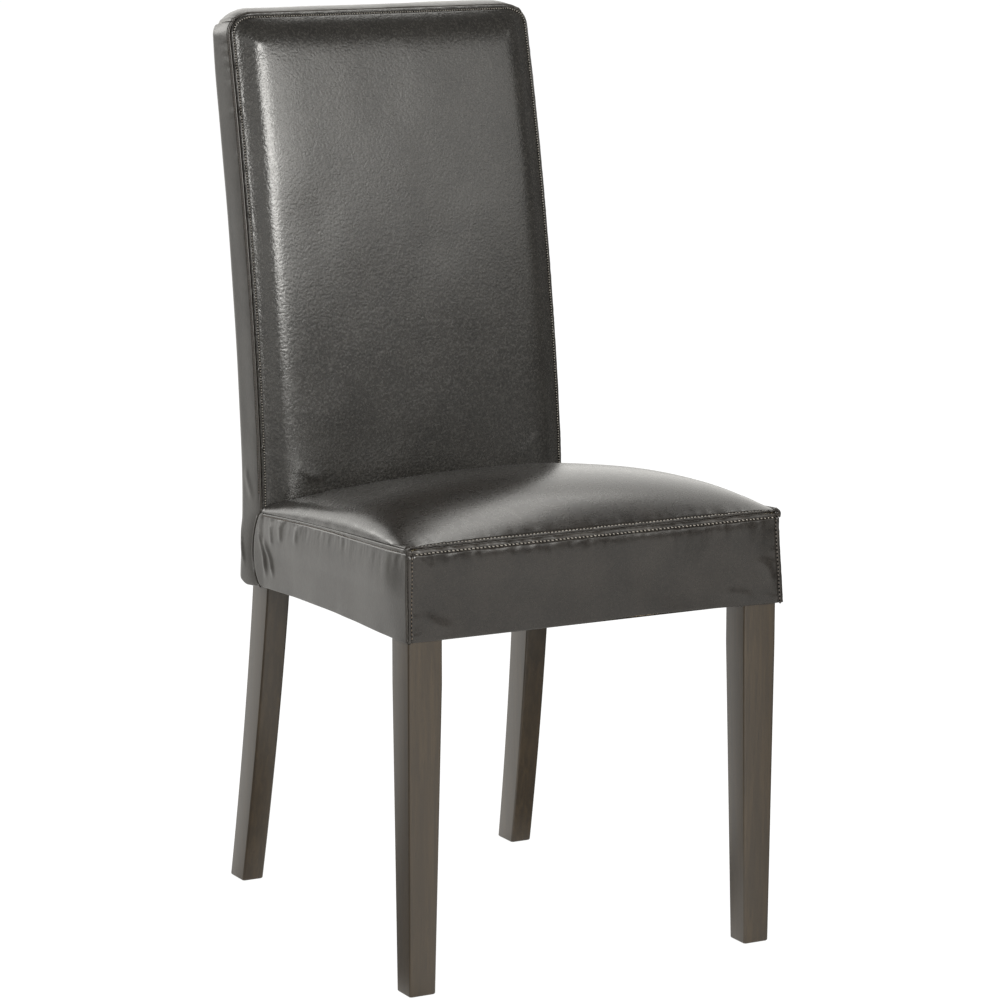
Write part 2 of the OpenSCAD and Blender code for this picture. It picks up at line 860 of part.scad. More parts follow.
module back_top_pad() {
  y1 = back_y0 + back_lean + back_bow + back_t;
  color("#d9d4c4")
    intersection() {
      along_y(back_y0, y1, back_outline(post_top - corner_r, leather_t + gap));
      along_x(-seat_w, seat_w, curve_strip(
        rail_lift, overall_h, front_pad, back_inner_t - gap, 24, far_rolls = 1
      ));
      along_z(post_top + gap, overall_h, [[-seat_w, back_y0], [seat_w, back_y0], [seat_w, y1], [-seat_w, y1]]);
    }
}

module back_board() {
  half = post_half(post_top) - over;
  color("#8a6a48")
    along_x(-half, half, curve_strip(rail_lift, post_top, front_pad + rear_leg_d + gap, board_rear_t, 20));
}

module back_rear_wadding() {
  z0 = hem_z(back_y0 + back_t);
  color("#d9d4c4")
    intersection() {
      along_y(back_y0, back_y0 + back_lean + back_bow + back_t, back_outline(z0, leather_t + gap));
      along_x(-seat_w, seat_w, curve_strip(
        rail_lift, post_top, board_rear_t + gap, back_inner_t - gap, 24, far_rolls = 1
      ));
    }
}

// Sewn cover

module seat_front_border() {
  half = seat_w / 2 + skin;
  y1 = cover_front_y + leather_t;
  turn_half = front_rail_x - gap;
  color("#2c2723")
    union() {
      along_y(cover_front_y, y1, [
        [-half, hem_h], [half, hem_h],
        [half, seam_h - leather_t - gap], [-half, seam_h - leather_t - gap]
      ]);
      along_x(-turn_half, turn_half, [
        [cover_front_y + leather_t / 2, hem_h + gap / 2],
        [front_y + turn_w, hem_z(front_y + turn_w) + gap],
        [front_y + turn_w, hem_z(front_y + turn_w) + gap + leather_t],
        [cover_front_y + leather_t / 2, hem_h + gap + leather_t]
      ]);
    }
}

// Curve in (y, z) of the seat's side panel where it ends on the side of the back, from the hem up
function side_end_curve(shift) =
  let (z0 = hem_z(back_y0), z1 = seam_z(back_y0) - leather_t - gap)
  [for (k = [0 : 12]) let (z = lerp(z0, z1, k / 12)) [back_y0 + side_end(z) + shift, z]];

// Side view of the side border: the hem below, the curved end and the bowed seam above
function side_border_profile(y0, y1) = concat(
  [[y0, hem_z(y0)]],
  side_end_curve(-seam_gap),
  [for (k = [11 : -1 : 0]) let (y = lerp(y0, y1, k / 12)) [y, seam_z(y) - leather_t - gap]]
);

module seat_side_border() {
  y0 = cover_front_y + leather_t + seam_gap;
  y1 = back_y0 - seam_gap;
  tail_y = back_y0 + side_reach + over;
  turn_y0 = leg_rear_y + gap;
  color("#2c2723")
    union() {
      intersection() {
        along_z(0, overall_h, [
          [-seat_half(y0), y0], [-seat_half(y0) + leather_t, y0],
          [-seat_half(leg_rear_y) + leather_t, leg_rear_y],
          [-seat_half(back_y0) + leather_t, back_y0], [-seat_half(tail_y) + leather_t, tail_y],
          [-seat_half(tail_y), tail_y], [-seat_half(back_y0), back_y0],
          [-seat_half(leg_rear_y), leg_rear_y]
        ]);
        along_x(-seat_w, 0, side_border_profile(y0, y1));
      }
      intersection() {
        along_z(0, overall_h, [
          [-seat_half(turn_y0) + leather_t / 2, turn_y0],
          [-rail_outer_x(turn_y0) + turn_w, turn_y0],
          [-rail_outer_x(y1) + turn_w, y1],
          [-seat_half(y1) + leather_t / 2, y1]
        ]);
        along_x(-seat_w, 0, [
          [turn_y0, hem_z(turn_y0) + gap], [y1, hem_z(y1) + gap],
          [y1, hem_z(y1) + gap + leather_t], [turn_y0, hem_z(turn_y0) + gap + leather_t]
        ]);
      }
    }
}

// Shell of leather round the sides and top of the back, between its front and rear covers
module back_boxing() {
  z0 = hem_z(back_y0 + back_t) - over;
  y1 = back_y0 + back_lean + back_bow + back_t;
  intersection() {
    difference() {
      along_y(back_y0, y1, back_outline(z0, 0));
      along_y(back_y0 - over, y1 + over, back_outline(z0 - over, leather_t));
    }
    along_x(-seat_w, seat_w, curve_strip(
      0, overall_h, leather_t + seam_gap, back_inner_t - seam_gap, 24, far_rolls = 1
    ));
  }
}

// Wedge that holds one side of the boxing, up to the seam across the top corner
module side_band_room() {
  x = band_half(overall_h) - corner_r;
  z = overall_h - corner_r;
  along_y(back_y0 - over, back_y0 + back_lean + back_bow + back_t + over, [
    [-x, z], [-x - 2 * corner_r, z + 2 * corner_r], [-seat_w, z + 2 * corner_r], [-seat_w, 0], [-x, 0]
  ]);
}

module back_side_band() {
  color("#2c2723")
    difference() {
      intersection() {
        back_boxing();
        side_band_room();
      }
      along_x(-seat_w, 0, concat(
        [[back_y0 - over, hem_z(back_y0) - over], [back_y0, hem_z(back_y0) - over]],
        side_end_curve(0),
        [[back_y0 - over, seam_z(back_y0)]]
      ));
    }
}

module back_top_band() {
  x = band_half(overall_h) - corner_r;
  z = overall_h - corner_r;
  color("#2c2723")
    intersection() {
      back_boxing();
      along_y(back_y0 - over, back_y0 + back_lean + back_bow + back_t + over, [
        [-x + seam_gap, z], [x - seam_gap, z],
        [x - seam_gap + 2 * corner_r, z + 2 * corner_r], [-x + seam_gap - 2 * corner_r, z + 2 * corner_r]
      ]);
    }
}

module back_rear_cover() {
  z0 = hem_z(back_y0 + back_t) - over;
  turn_half = rear_rail_x - gap;
  turn_y0 = post_y0 + rear_rail_set + rail_t - turn_w / 2;
  turn_y1 = back_y0 + back_inner_t + leather_t / 2;
  color("#2c2723")
    union() {
      intersection() {
        along_y(back_y0, back_y0 + back_lean + back_bow + back_t + over, back_outline(z0, 0));
        along_x(-seat_w, seat_w, curve_strip(
          0, overall_h, back_inner_t, back_t, 24, near_rolls = 1, far_rolls = 1
        ));
      }
      along_x(-turn_half, turn_half, [
        [turn_y0, hem_z(turn_y0) + gap], [turn_y1, hem_z(turn_y1) + gap],
        [turn_y1, hem_z(turn_y1) + gap + leather_t], [turn_y0, hem_z(turn_y0) + gap + leather_t]
      ]);
    }
}

// Black cloth stapled under the rails over the turned leather, cut out round the legs
module dust_cover() {
  margin = 6;
  y0 = front_y + margin;
  y1 = post_y0 + rear_rail_set + rail_t - margin;
  leg_room = 1;
  color("#1c1c1c")
    difference() {
      intersection() {
        along_z(0, frame_h, [
          [-seat_w / 2 + margin, y0], [seat_w / 2 - margin, y0],
          [seat_w / 2 - margin, leg_rear_y], [rail_outer_x(y1) - margin, y1],
          [-rail_outer_x(y1) + margin, y1], [-seat_w / 2 + margin, leg_rear_y]
        ]);
        along_x(-seat_w, seat_w, [
          [y0, hem_z(y0) - dust_t], [y1, hem_z(y1) - dust_t], [y1, hem_z(y1)], [y0, hem_z(y0)]
        ]);
      }
      both_sides()
        along_z(0, frame_h, [
          [-seat_w, front_y - over], [-seat_w / 2 + front_leg_w + leg_room, front_y - over],
          [-seat_w / 2 + front_leg_w + leg_room, leg_rear_y + leg_room], [-seat_w, leg_rear_y + leg_room]
        ]);
      both_sides()
        along_z(0, frame_h, [
          [-seat_w, post_y0 - leg_room], [-seat_rear_w / 2 + rear_leg_w + leg_room, post_y0 - leg_room],
          [-seat_rear_w / 2 + rear_leg_w + leg_room, y1 + over], [-seat_w, y1 + over]
        ]);
    }
}

front_leg();  // front_leg_left
mirrored(true) front_leg();  // front_leg_right
rear_leg();  // rear_leg_left
mirrored(true) rear_leg();  // rear_leg_right
front_rail();
rear_rail();
side_rail();  // side_rail_left
mirrored(true) side_rail();  // side_rail_right
back_rail(post_top - top_rail_h, top_rail_h, top_rail_x, top_rail_set, top_rail_t);  // back_top_rail
back_rail(low_rail_z, low_rail_h, low_rail_x, low_rail_set, low_rail_t);  // back_lower_rail
corner_blocks();
corner_block_screws();
seat_rail_dowels();
back_rail_dowels();
seat_straps_long();
seat_straps_cross();
back_straps();
seat_lining();
seat_foam();
back_foam();
back_side_pads();
back_top_pad();
back_board();
back_rear_wadding();
seat_top_cover();
seat_front_border();
seat_side_border();  // seat_side_border_left
mirrored(true) seat_side_border();  // seat_side_border_right
back_front_cover();
back_side_band();  // back_side_band_left
mirrored(true) back_side_band();  // back_side_band_right
back_top_band();
back_rear_cover();
dust_cover();
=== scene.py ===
"""Looks of an upholstered dining chair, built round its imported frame.

Metres. The chair faces -Y, and left and right are as seen from the front. The shape functions repeat
those of the part's source, so that each piece lies where its solid does.
"""

import math

import bpy
import numpy as np
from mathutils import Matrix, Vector


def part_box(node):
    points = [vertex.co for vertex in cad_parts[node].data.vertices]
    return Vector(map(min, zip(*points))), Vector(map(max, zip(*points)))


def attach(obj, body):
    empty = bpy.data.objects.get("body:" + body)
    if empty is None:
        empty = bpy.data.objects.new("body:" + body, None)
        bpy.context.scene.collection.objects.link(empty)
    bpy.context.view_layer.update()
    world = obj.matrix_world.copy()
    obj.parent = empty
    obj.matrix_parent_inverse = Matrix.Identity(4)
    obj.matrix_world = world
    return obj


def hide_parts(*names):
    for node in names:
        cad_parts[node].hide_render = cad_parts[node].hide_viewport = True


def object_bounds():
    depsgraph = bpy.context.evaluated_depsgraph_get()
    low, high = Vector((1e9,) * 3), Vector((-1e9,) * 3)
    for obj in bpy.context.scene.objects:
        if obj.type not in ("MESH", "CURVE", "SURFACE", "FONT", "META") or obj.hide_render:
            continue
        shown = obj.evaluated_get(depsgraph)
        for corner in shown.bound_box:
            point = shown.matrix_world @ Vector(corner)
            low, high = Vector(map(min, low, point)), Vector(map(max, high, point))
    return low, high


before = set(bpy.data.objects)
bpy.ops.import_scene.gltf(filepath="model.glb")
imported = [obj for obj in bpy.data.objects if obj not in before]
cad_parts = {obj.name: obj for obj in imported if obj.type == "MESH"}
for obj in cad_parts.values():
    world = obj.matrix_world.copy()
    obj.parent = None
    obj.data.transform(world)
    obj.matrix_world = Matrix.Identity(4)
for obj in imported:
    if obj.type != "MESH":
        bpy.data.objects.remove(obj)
cad_low, cad_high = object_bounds()


# Driving sizes

leg_low, leg_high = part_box("front_leg_left")
OVERALL_H = cad_high.z
SEAT_W = -2 * leg_low.x
FRONT_Y = leg_low.y
LEG_TOP = leg_high.z
LEG_W = 0.0387

SEAT_REAR_W = 0.361
SEAT_D = 0.411
SEAM_H = 0.476
SEAM_FALL = 0.035
SEAM_BOW = 0.009
FOAM_EDGE_H = 0.040
FRAME_FALL = 0.025
HEM_H = 0.377
HEM_FALL = 0.020
SEAT_CROWN = 0.0612
CROWN_ACROSS = 1.94
CROWN_SIDE = 0.405
CROWN_FRONT = 4.9
CROWN_FALL = 0.615
SIDE_REACH = 0.026

BACK_T = 0.067
BACK_LEAN = 0.041
BACK_BOW = 0.043
BACK_TAPER = 0.0045
LEAN_SOFT = 0.06
REAR_ROLL = 0.009
REAR_ROLL_H = 0.090
FRONT_PAD = 0.013
SIDE_PAD = 0.0065
TOP_PAD = 0.014
SKIN = 0.0022

FRONT_FOOT_W = 0.0299
FRONT_FOOT_D = 0.0289
FRONT_FOOT_IN = 0.0019
FRONT_FOOT_BACK = 0.0043
TAPER_H = 0.330
REAR_LEG_W = 0.028
REAR_FOOT_W = 0.025
REAR_LEG_D = 0.041
REAR_FOOT_D = 0.0344
RAKE_LEAN = 0.0447
RAKE_BOW = 0.0178
RAKE_SOFT = 0.03
KNEE_H = 0.353
REAR_SPLAY = 0.0065

# How the leather lies round the back's box
SLACK = 0.0040
SEAM_BACK = 0.0065
TOP_DROP = 0.0020
CUSHION_RISE = 0.0168
CUSHION_DOME = 0.0046
SIDE_PUFF = 0.0019
TOP_PUFF = 0.0046
PUFF_W = 0.036
SEAT_SLACK = 0.0010
FRONT_CORNER = (0.028, 0.024)  # width and height of its curve
REAR_CORNER = (0.046, 0.031)
REAR_EDGE_R = 0.0180
SEAM_ANGLE_FRONT = math.radians(38)
SEAM_ANGLE_REAR = math.radians(24)
FRONT_TOP = OVERALL_H - TOP_DROP

LEATHER_T = 0.0012
LIP_R = 0.0014
LIP_TAIL = 0.0028
LIP_STEPS = 5

COVER_FRONT_Y = FRONT_Y - SKIN
LEG_REAR_Y = FRONT_Y + LEG_W
BACK_Y0 = FRONT_Y + SEAT_D
POST_Y0 = BACK_Y0 + FRONT_PAD
POST_TOP = OVERALL_H - TOP_PAD
FRAME_H = SEAM_H - FOAM_EDGE_H
COVER_HALF = SEAT_W / 2 + SKIN + SEAT_SLACK
COVER_D = BACK_Y0 - COVER_FRONT_Y


# Heights and outlines

def axes(points):
    return points[..., 0], points[..., 1], points[..., 2]


def clamp(t):
    return np.clip(t, 0.0, 1.0)


def lerp(a, b, t):
    return a + (b - a) * t


def ease(t):
    c = clamp(t)
    return c * c * (3 - 2 * c)


def bend(d, w):
    """The larger of 0 and d, with its kink rounded over w."""
    return (d + np.sqrt(d * d + w * w)) / 2


def depth_share(y):
    return (y - FRONT_Y) / SEAT_D


def hem_z(y):
    return HEM_H - HEM_FALL * depth_share(y)


def frame_z(y):
    return FRAME_H - FRAME_FALL * depth_share(y)


def seam_z(y):
    t = clamp(depth_share(y))
    return SEAM_H - SEAM_FALL * t + SEAM_BOW * t * (1 - t)


def lean(z):
    share = (z - SEAM_H) / (OVERALL_H - SEAM_H)
    return BACK_LEAN * bend(share, LEAN_SOFT) + BACK_BOW * np.maximum(0, share) ** 2


def rake(z):
    share = (KNEE_H - z) / KNEE_H
    return RAKE_LEAN * bend(share, RAKE_SOFT) + RAKE_BOW * np.maximum(0, share) ** 2


def back_y(z):
    return BACK_Y0 + lean(z)


def post_half(z):
    below = REAR_SPLAY * (KNEE_H - z) / KNEE_H
    above = -BACK_TAPER * (z - KNEE_H) / (OVERALL_H - KNEE_H)
    return SEAT_REAR_W / 2 + np.where(z < KNEE_H, below, above)


def band_half(z):
    return post_half(z) + SIDE_PAD + SLACK


def seat_half(y):
    share = bend((y - LEG_REAR_Y) / (BACK_Y0 - LEG_REAR_Y), 0.06)
    return lerp(COVER_HALF, band_half(hem_z(BACK_Y0)), clamp(share))


def side_end(z):
    low, high = hem_z(BACK_Y0), seam_z(BACK_Y0)
    reach = np.maximum(0, np.sin(np.pi * clamp((z - low) / (high - low)))) ** 0.6
    return lerp(SEAM_BACK, SIDE_REACH, reach)


def top_roll(z):
    return REAR_ROLL * clamp(1 - (OVERALL_H - z) / REAR_ROLL_H) ** 2


def arch(z, top, wide, tall):
    """How far an outline draws in at height z for its round upper corners."""
    over = np.maximum(0, z - top + tall) / tall
    return wide * (np.sqrt(np.maximum(0, 1 - over ** 2)) - 1)


def edge_room(x, z):
    """Distance from a point on the back's front to its seam, square to that seam."""
    a, b = FRONT_CORNER
    side = band_half(z) - np.abs(x)
    up = FRONT_TOP - z
    corner = (1 - np.hypot(np.maximum(0, a - side) / a, np.maximum(0, b - up) / b)) * (a + b) / 2
    return np.where((side < a) & (up < b), corner, np.minimum(side, up))


CUSHION_ROOM = np.linspace(0, 0.070, 351)


def cushion_table(steep, foot, tail):
    """Share of the cushion's rise at each distance from its seam. It climbs most at the distance steep and
    then levels out slowly."""
    past = CUSHION_ROOM - steep
    slope = np.where(past < 0, np.exp(-(past / foot) ** 2), np.exp((0.003 - np.hypot(past, 0.003)) / tail))
    total = np.cumsum(slope) - slope[0]
    return total / total[-1]


CUSHION_SIDE = cushion_table(0.0175, 0.0175, 0.0112)
CUSHION_TOP = cushion_table(0.0070, 0.0300, 0.0100)


def back_rise(x, z):
    """How far the back's front cover stands before the plane of the seat's rear end."""
    side = np.interp(band_half(z) - np.abs(x), CUSHION_ROOM, CUSHION_SIDE)
    up = np.interp(FRONT_TOP - z, CUSHION_ROOM, CUSHION_TOP)
    u = clamp(np.abs(x) / band_half(z))
    return side * up * (CUSHION_RISE + CUSHION_DOME * (1 - u * u)) - SEAM_BACK


def seat_rear_y(u):
    return BACK_Y0 - back_rise(u * band_half(SEAM_H), SEAM_H) - 0.0003


def seat_place(u, v):
    """Point on the seat's top: u across it from -1 to 1, v from front to back."""
    y = lerp(COVER_FRONT_Y, seat_rear_y(u), v)
    across = np.maximum(0, 1 - np.abs(u) ** CROWN_ACROSS) ** CROWN_SIDE
    rise = SEAT_CROWN * across * (1 - (1 - v) ** CROWN_FRONT) * (1 - CROWN_FALL * v * v)
    return u * seat_half(y), y, seam_z(y) + rise


def closer_at_ends(count):
    """Values from -1 to 1, closer together towards both."""
    return np.sin(np.linspace(-np.pi / 2, np.pi / 2, count))


# Seeded noise and folds

LATTICE = np.random.RandomState(17).uniform(-1, 1, (101, 97))


def noise(x, y, seed=0):
    """Smooth noise from -1 to 1 with cells of size 1."""
    x = x + seed * 7.31
    y = y + seed * 3.77
    i, j = np.floor(x).astype(int), np.floor(y).astype(int)
    fx, fy = x - i, y - j
    sx, sy = (f ** 3 * (f * (f * 6 - 15) + 10) for f in (fx, fy))

    def at(di, dj):
        return LATTICE[(i + di) % 101, (j + dj) % 97]

    low = lerp(at(0, 0), at(1, 0), sx)
    high = lerp(at(0, 1), at(1, 1), sx)
    return lerp(low, high, sy)


def fold(a, b, start, end, width, height):
    """A soft fold of that height along a segment, as a displacement of the points (a, b)."""
    (a0, b0), (a1, b1) = start, end
    da, db = a1 - a0, b1 - b0
    length = math.hypot(da, db)
    t = ((a - a0) * da + (b - b0) * db) / length ** 2
    off = ((a - a0) * db - (b - b0) * da) / length
    off = off - 0.15 * length * np.sin(np.pi * clamp(t)) * (0.5 if height > 0 else -0.5)
    taper = ease(t / 0.3) * ease((1 - t) / 0.3)
    return height * taper * np.exp(-(off / width) ** 2)


def folds(a, b, table):
    """All folds of a table with rows of start, end, width and height."""
    return sum(fold(a, b, *row) for row in table)


def near_place(x, y, px, py, reach):
    return np.exp(-((x - px) ** 2 + (y - py) ** 2) / reach ** 2)


# Drape of the cover's lower part: how it flares and hangs over each leg

CORNER_DRAPE = [
    # place (x, y), then how far it moves there in x, y and z
    (-0.222, -0.282, -0.0004, -0.0012, 0.0002),
    (0.222, -0.282, 0.0042, -0.0016, -0.0004),
    (-0.187, 0.196, -0.0010, 0.0052, -0.0030),
    (0.187, 0.196, 0.0012, 0.0046, -0.0026),
]
MIDDLE_LIFT = [
    # place (x, y), how far the hem lifts there, reach
    (0.06, -0.282, 0.0024, 0.085),
    (-0.208, -0.08, 0.0038, 0.18),
    (0.203, -0.06, 0.0016, 0.12),
]
DRAPE_H = 0.050
DRAPE_REACH = 0.055


def drape(points):
    """Moves the lowest part of the cover as the two lists say, fading out upwards."""
    moved = points.copy()
    x, y, z = axes(points)
    weight = np.exp(-(np.maximum(0, z - hem_z(y)) / DRAPE_H) ** 2)
    for px, py, dx, dy, dz in CORNER_DRAPE:
        moved += (weight * near_place(x, y, px, py, DRAPE_REACH))[..., None] * np.array([dx, dy, dz])
    for px, py, dz, reach in MIDDLE_LIFT:
        moved[..., 2] += weight * near_place(x, y, px, py, reach) * dz
    return moved


# Materials

def feed(tree, socket, value):
    if isinstance(value, bpy.types.NodeSocket):
        tree.links.new(value, socket)
    else:
        socket.default_value = value


def principled(name, **inputs):
    mat = bpy.data.materials.new(name)
    mat.use_nodes = True
    shader = mat.node_tree.nodes["Principled BSDF"]
    for key, value in inputs.items():
        shader.inputs[key.replace("_", " ")].default_value = value
    return mat, mat.node_tree, shader.inputs


def node(tree, kind, settings=None, **inputs):
    made = tree.nodes.new("ShaderNode" + kind)
    for key, value in (settings or {}).items():
        setattr(made, key, value)
    for key, value in inputs.items():
        feed(tree, made.inputs[key.replace("_", " ")], value)
    return made


def chain(tree, kind, settings, *values):
    """A node whose inputs take the values in order. None leaves an input as it is."""
    made = node(tree, kind, settings)
    for socket, value in zip(made.inputs, values):
        if value is not None:
            feed(tree, socket, value)
    return made.outputs


def math_node(tree, operation, *values, limit=False):
    return chain(tree, "Math", {"operation": operation, "use_clamp": limit}, *values)[0]


def times(tree, a, b, limit=False):
    return math_node(tree, "MULTIPLY", a, b, limit=limit)


def ramp(tree, value, low, high, to_low=0.0, to_high=1.0):
    return node(tree, "MapRange", {"interpolation_type": "SMOOTHSTEP"}, Value=value,
                From_Min=low, From_Max=high, To_Min=to_low, To_Max=to_high).outputs["Result"]


def blend_colour(tree, share, a, b):
    return chain(tree, "Mix", {"data_type": "RGBA"}, share, None, None, None, None, None, a, b)[2]


def shade(colour, factor):
    return tuple(c * factor for c in colour[:3]) + (1,)


def place_of(tree, scale=(1, 1, 1)):
    """Object coordinates in metres, stretched by a scale."""
    return node(tree, "Mapping", Vector=node(tree, "TexCoord").outputs["Object"], Scale=scale).outputs[0]


def clouds(tree, here, scale, detail, rough=0.5, **more):
    made = node(tree, "TexNoise", Vector=here, Scale=scale, Detail=detail, Roughness=rough, **more)
    return made.outputs["Fac"]


def bump(tree, height, strength, distance, **under):
    return node(tree, "Bump", Height=height, Strength=strength, Distance=distance, **under).outputs[0]


def strokes(tree, here, angle, across, along):
    """Fine grain of short strokes that lean by that angle in the (x, z) plane."""
    turned = node(tree, "Mapping", Vector=here, Rotation=(0, math.radians(angle), 0),
                  Scale=(across, across, along))
    return clouds(tree, turned.outputs[0], 1.0, 2.0)


def leather(name, colour, light, rough, grain, streaks, coarse, gloss=1.5):
    """Coated leather: pebbled grain, fine creases, soft mottling, paler rubbed seams."""
    mat, tree, surface = principled(name, Roughness=rough, IOR=gloss, Coat_Weight=0.10, Coat_Roughness=0.22)
    here = place_of(tree)
    pebble = node(tree, "TexVoronoi", {"feature": "SMOOTH_F1"}, Vector=here, Scale=520.0).outputs["Distance"]
    soft = clouds(tree, here, 22.0, 4.0, 0.55)
    patch = clouds(tree, here, 120.0, 3.0, 0.6)
    fine = clouds(tree, here, 340.0, 1.0, 0.4)
    swirl = node(tree, "TexNoise", Vector=here, Scale=45.0, Detail=2.0, Distortion=0.3).outputs["Color"]
    curled = chain(tree, "VectorMath", {"operation": "MULTIPLY_ADD"}, swirl, (0.012, 0.012, 0.012), here)[0]
    crease = node(tree, "TexVoronoi", {"feature": "DISTANCE_TO_EDGE"}, Vector=curled, Scale=95.0)
    line = ramp(tree, crease.outputs["Distance"], 0.0, 0.05, 1.0, 0.0)
    line = times(tree, line, ramp(tree, patch, 0.50, 0.66))
    rising = strokes(tree, curled, 42, 800.0, 260.0)
    falling = strokes(tree, curled, -38, 760.0, 330.0)
    hatch = ramp(tree, math_node(tree, "MAXIMUM", rising, falling), 0.46, 0.70)
    worn = node(tree, "Attribute", {"attribute_name": "rub"}).outputs["Fac"]
    tone = blend_colour(tree, ramp(tree, soft, 0.35, 0.65), colour, light)
    for share, weight, over in (
        (ramp(tree, fine, 0.48, 0.66), grain * 0.8, shade(light, 2.2)),
        (hatch, coarse, shade(light, 2.4)),
        (line, streaks, shade(light, 2.2)),
        (worn, 0.30, (0.085, 0.075, 0.064, 1)),
    ):
        tone = blend_colour(tree, times(tree, share, weight, limit=share is worn), tone, over)
    feed(tree, surface["Base Color"], tone)
    uneven = math_node(tree, "ADD", times(tree, fine, 0.24 * grain), times(tree, hatch, -0.05 * coarse))
    dulled = math_node(tree, "MULTIPLY_ADD", patch, 0.08, rough - 0.04 - 0.12 * grain)
    feed(tree, surface["Roughness"], math_node(tree, "ADD", dulled, uneven))
    lifted = bump(tree, pebble, grain, 0.00014)
    lifted = bump(tree, fine, grain, 0.0003, Normal=lifted)
    if coarse:
        lifted = bump(tree, hatch, coarse, 0.00008, Normal=lifted)
    feed(tree, surface["Normal"], bump(tree, line, 0.10, -0.0003, Normal=lifted))
    return mat


def wood(name, dark, light, rough, grain_scale, coat=0.0, chips=()):
    """Straight-grained wood, with pale chips at the places given."""
    mat, tree, surface = principled(name, Roughness=rough, Coat_Weight=coat, Coat_Roughness=0.35)
    here = place_of(tree)
    figure = clouds(tree, place_of(tree, grain_scale), 1.0, 5.0, 0.62, Distortion=0.5)
    pores = clouds(tree, place_of(tree, tuple(c * 5.5 for c in grain_scale)), 1.0, 2.0)
    tone = blend_colour(tree, ramp(tree, figure, 0.36, 0.66), dark, light)
    cloud = ramp(tree, clouds(tree, here, 11.0, 3.0), 0.4, 0.7, 0.0, 0.35)
    tone = blend_colour(tree, cloud, tone, shade(light, 0.72))
    pore = ramp(tree, pores, 0.60, 0.70, 0.0, 0.45)
    tone = blend_colour(tree, pore, tone, shade(dark, 0.35))
    for at, reach in chips:
        apart = chain(tree, "VectorMath", {"operation": "DISTANCE"}, here, at)["Value"]
        ragged = math_node(tree, "MULTIPLY_ADD", pores, 0.0022, apart)
        chip = ramp(tree, ragged, reach, reach * 1.25, 0.8, 0.0)
        tone = blend_colour(tree, chip, tone, (0.52, 0.42, 0.30, 1))
    feed(tree, surface["Base Color"], tone)
    feed(tree, surface["Normal"], bump(tree, pore, 0.35, -0.0002, Normal=bump(tree, figure, 0.25, 0.0003)))
    return mat


def cloth(name, colour, light, weave, rough=0.9, raised=0.0004):
    """Cloth with a plain weave. weave is the scale of its bands."""
    mat, tree, surface = principled(name, Roughness=rough, Sheen_Weight=0.2)
    here = place_of(tree)
    both = times(tree, *(
        node(tree, "TexWave", {"bands_direction": way}, Vector=here, Scale=weave, Distortion=0.4,
             Detail=1.0).outputs["Fac"] for way in "XY"))
    fuzz = clouds(tree, here, 900.0, 3.0)
    tone = blend_colour(tree, both, colour, light)
    tone = blend_colour(tree, ramp(tree, fuzz, 0.3, 0.7, 0.0, 0.35), tone, light)
    feed(tree, surface["Base Color"], tone)
    feed(tree, surface["Normal"], bump(tree, fuzz, 0.3, raised / 2, Normal=bump(tree, both, 0.5, raised)))
    return mat


def foam(name, colour, light, cell):
    """Open-celled foam or lofted fibre. cell is the scale of its cells."""
    mat, tree, surface = principled(name, Roughness=0.95)
    here = place_of(tree)
    cells = node(tree, "TexVoronoi", Vector=here, Scale=cell).outputs["Distance"]
    tone = blend_colour(tree, ramp(tree, clouds(tree, here, 60.0, 5.0), 0.3, 0.7), colour, light)
    feed(tree, surface["Base Color"], blend_colour(tree, ramp(tree, cells, 0.1, 0.7, 0.0, 0.3), tone, light))
    feed(tree, surface["Normal"], bump(tree, cells, 0.6, 0.0006))
    return mat


def steel(name):
    mat, tree, surface = principled(name, Metallic=1.0, Roughness=0.35)
    brushed = clouds(tree, place_of(tree, (300, 300, 3000)), 1.0, 3.0)
    tone = blend_colour(tree, brushed, (0.42, 0.42, 0.41, 1), (0.66, 0.66, 0.64, 1))
    feed(tree, surface["Base Color"], tone)
    feed(tree, surface["Normal"], bump(tree, brushed, 0.2, 0.0001))
    return mat


def thread(name, colour, light, gloss=0.5):
    """Twisted sewing thread."""
    mat, tree, surface = principled(name, Roughness=0.6, Specular_IOR_Level=gloss)
    twist = node(tree, "TexWave", {"bands_direction": "DIAGONAL"}, Vector=place_of(tree), Scale=900.0)
    feed(tree, surface["Base Color"], blend_colour(tree, twist.outputs["Fac"], colour, light))
    feed(tree, surface["Normal"], bump(tree, twist.outputs["Fac"], 0.5, 0.0001))
    return mat


CHIPS = [
    # place, reach
    ((-0.2205, -0.2755, 0.0195), 0.0022),
    ((-0.2205, -0.2765, 0.0680), 0.0010),
]

SEAT_LEATHER = leather("seat_leather", (0.0125, 0.0105, 0.0088, 1), (0.0185, 0.0155, 0.0130, 1),
                       rough=0.28, grain=0.20, streaks=0.05, coarse=0.0)
BACK_LEATHER = leather("back_leather", (0.012, 0.0112, 0.0100, 1), (0.018, 0.0168, 0.0150, 1),
                       rough=0.265, grain=0.60, streaks=0.12, coarse=0.35, gloss=1.6)
PANEL_LEATHER = leather("panel_leather", (0.023, 0.020, 0.0175, 1), (0.032, 0.029, 0.025, 1),
                        rough=0.34, grain=0.22, streaks=0.10, coarse=0.12)
STAINED_WOOD = wood("stained_wood", (0.0250, 0.0158, 0.0066, 1), (0.041, 0.0264, 0.0113, 1),
                    rough=0.40, grain_scale=(190, 190, 9), coat=0.52, chips=CHIPS)
RAW_WOOD = wood("raw_wood", (0.42, 0.29, 0.16, 1), (0.60, 0.45, 0.28, 1),
                rough=0.7, grain_scale=(12, 150, 150))
DOWEL_WOOD = wood("dowel_wood", (0.52, 0.37, 0.22, 1), (0.68, 0.52, 0.34, 1),
                  rough=0.65, grain_scale=(40, 40, 400))
